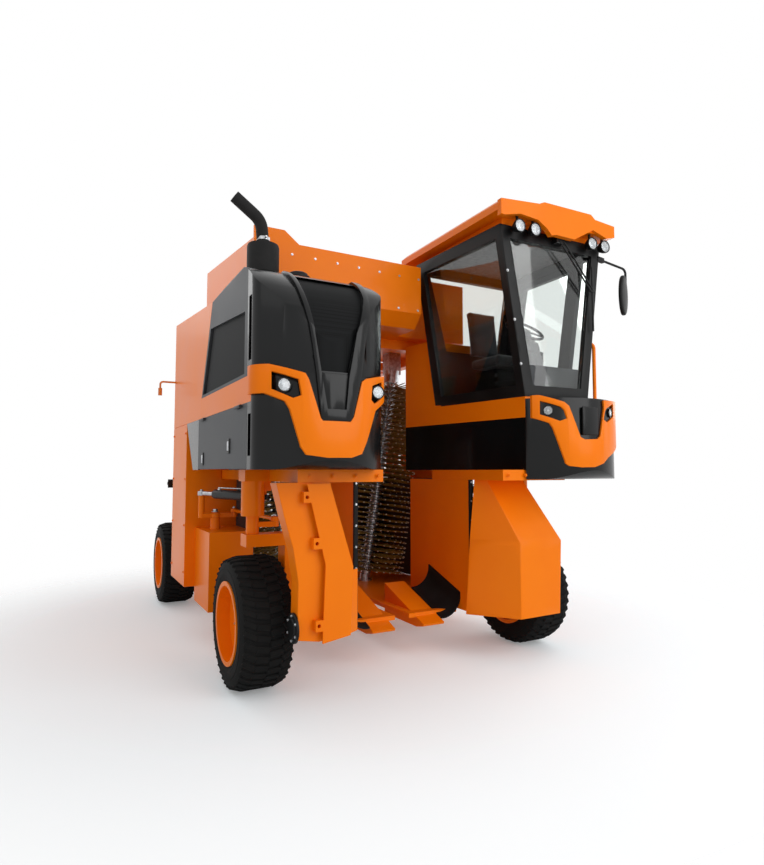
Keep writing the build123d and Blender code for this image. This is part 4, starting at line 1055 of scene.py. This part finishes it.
copy_in(mirror_form, head, moved(2044, -2470, 3370) @ stand_up @ Matrix.Translation((0, 0, -0.020)))
head.free()
face_outward(mirror_form)
make_piece("side_mirror", mirror_form, [black_enamel, mirror_bright], "chassis", ["mirror"])
print("mirror ready")

# %% [markdown]
# ## Small fittings
# Latches on the service door, a handle on the cab door, the dark panel under
# the windscreen, the bare plate on the nose, filler caps and a pale headliner.
# Each is a rounded block or a spun cap.

# %% Small fittings
latches = bmesh.new()
frame_plate = box_form((0.008, 0.062, 0.110), 0.003, 2)
grip = box_form((0.010, 0.030, 0.070), 0.004, 2)
for y, z in ((-1056, 1783), (-1946, 1863)):
    copy_in(latches, frame_plate, moved(-1603, y, z), 0)
    copy_in(latches, grip, moved(-1608, y, z), 1)
frame_plate.free()
grip.free()
make_piece("service_latches", latches, [black_enamel, zinc_steel], "service_door")

handle = box_form((0.018, 0.130, 0.026), 0.007, 3)
carry(handle, moved(1618, -1520, 2950))
make_piece("cab_handle", handle, [black_enamel], "cab_door")

panel = box_form((0.600, 0.014, 0.190), 0.005, 2)
carry(panel, moved(1160, -2425, 2510))
make_piece("windscreen_panel", panel, [charcoal_powder_coat], "chassis")

plate = box_form((0.190, 0.022, 0.240), 0.010, 3)
tilt = turned(2, "Z")
carry(plate, moved(1268, -2736, 2105) @ tilt)
make_piece("nose_plate", plate, [black_gelcoat], "chassis")

fillers = bmesh.new()
filler = [(0, 0.060), (0.012, 0.060), (0.016, 0.066), (0.040, 0.066), (0.046, 0.058), (0.046, 0.0005)]
add_spin(fillers, filler, 32)
carry(fillers, turned(-90, "Y"))
face_outward(fillers)
both_caps = bmesh.new()
for side in (1, -1):
    copy_in(both_caps, fillers, moved(side * 880, 1400, 2500))
fillers.free()
make_piece("filler_caps", both_caps, [black_enamel], "chassis")

lining = box_form((1.020, 1.080, 0.016), 0.006, 2)
carry(lining, moved(1160, -1815, 3790))
make_piece("headliner", lining, [grey_trim], "chassis")
print("fittings ready")

# %% [markdown]
# ## Rear fittings
# The photograph does not show the back, so only what such machines have is
# added there: inspection covers with four bolts on each elevator, and a red
# lamp on a bracket beside it. The covers are rounded plates and the lamps use
# the spun form of the front ones.

# %% Rear fittings
TOWER_FACE, TOWER_MID, COVER_Z = 1200, 2540, (950, 1700, 2450)
red_lens, shader = new_finish("red_lens", "#B0140C", 0.12, gloss=0.5)
mottle(red_lens, shader, "#BC1A10", "#A0100A", 12)
covers = bmesh.new()
cover_plate = box_form((0.008, 0.300, 0.420), 0.003, 2)
for side in (1, -1):
    for z in COVER_Z:
        copy_in(covers, cover_plate, moved(side * (TOWER_FACE + 3), TOWER_MID, z))
cover_plate.free()
make_piece("elevator_covers", covers, [orange_enamel], "chassis")
for side, name in SIDES:
    corners = [(y, z) for y in (TOWER_MID - 125, TOWER_MID + 125) for z in COVER_Z]
    places = [(side * (TOWER_FACE + 7), y, z + up) for y, z in corners for up in (-185, 185)]
    bolt_row(f"cover_bolts_{name}", "chassis", (side, 0, 0), places, 0.8)

tail_lamps = bmesh.new()
tail_lamp = lamp_form(0.048, 0.060)
tail_bracket = box_form((0.104, 0.006, 0.120), 0.002, 1)
to_back = turned(90, "Z")
for side in (1, -1):
    copy_in(tail_lamps, tail_lamp, moved(side * 1255, 2765, 1500) @ to_back)
    copy_in(tail_lamps, tail_bracket, moved(side * 1250, 2703, 1500), 0)
tail_lamp.free()
tail_bracket.free()
make_piece("tail_lamps", tail_lamps, [black_enamel, mirror_bright, red_lens], "chassis")
print("rear fittings ready")

# %% [markdown]
# ## Hose ends
# The hoses take their rubber here, and each leaves the beam through a crimped
# ferrule. On the cylinder they end in ports, which a steel line joins. All are
# spun outlines, apart from the line, which is a tube along four points.

# %% Hose ends
ferrule = bmesh.new()
crimp = [(0.0, 0.0005), (0.0, 0.013), (0.010, 0.013), (0.011, 0.0105), (0.036, 0.0105), (0.038, 0.0072)]
add_spin(ferrule, crimp, 16)
face_outward(ferrule)
for hose, side, start, length in hoses:
    hose.data.materials.append(sheet_rubber)
    ends = bmesh.new()
    copy_in(ends, ferrule, Matrix.Translation(start) @ turned(0 if side > 0 else 180, "Z"))
    fitting = make_piece(f"{hose.name}_fitting", ends, [zinc_steel], "chassis")
    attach(hose, "chassis")
ferrule.free()

RAM_FOOT, RAM_WAY = (1220, -1620), (0.2532, 0.9674)


def on_ram(side, along, z):
    """A place along a steering cylinder, in millimetres from its foot pin."""
    return at(side * (RAM_FOOT[0] + RAM_WAY[0] * along), RAM_FOOT[1] + RAM_WAY[1] * along, z)


port = bmesh.new()
stub = [(0.0, 0.0005), (0.0, 0.016), (0.014, 0.016), (0.016, 0.011), (0.026, 0.011), (0.026, 0.0005)]
add_spin(port, stub, 12)
face_outward(port)
for side, name in SIDES:
    line = bmesh.new()
    for along in (110, 176, 760):
        copy_in(line, port, Matrix.Translation(on_ram(side, along, 1508)) @ turned(-90, "Y"))
    add_tube(line, [on_ram(side, along, 1528) for along in (176, 380, 580, 760)], 0.006, 0.0015, 12)
    face_outward(line)
    make_piece(f"cylinder_line_{name}", line, [zinc_steel], f"steering_barrel_{name}")
port.free()
print("hose ends and steel lines ready")

# %% End
print("scene built")
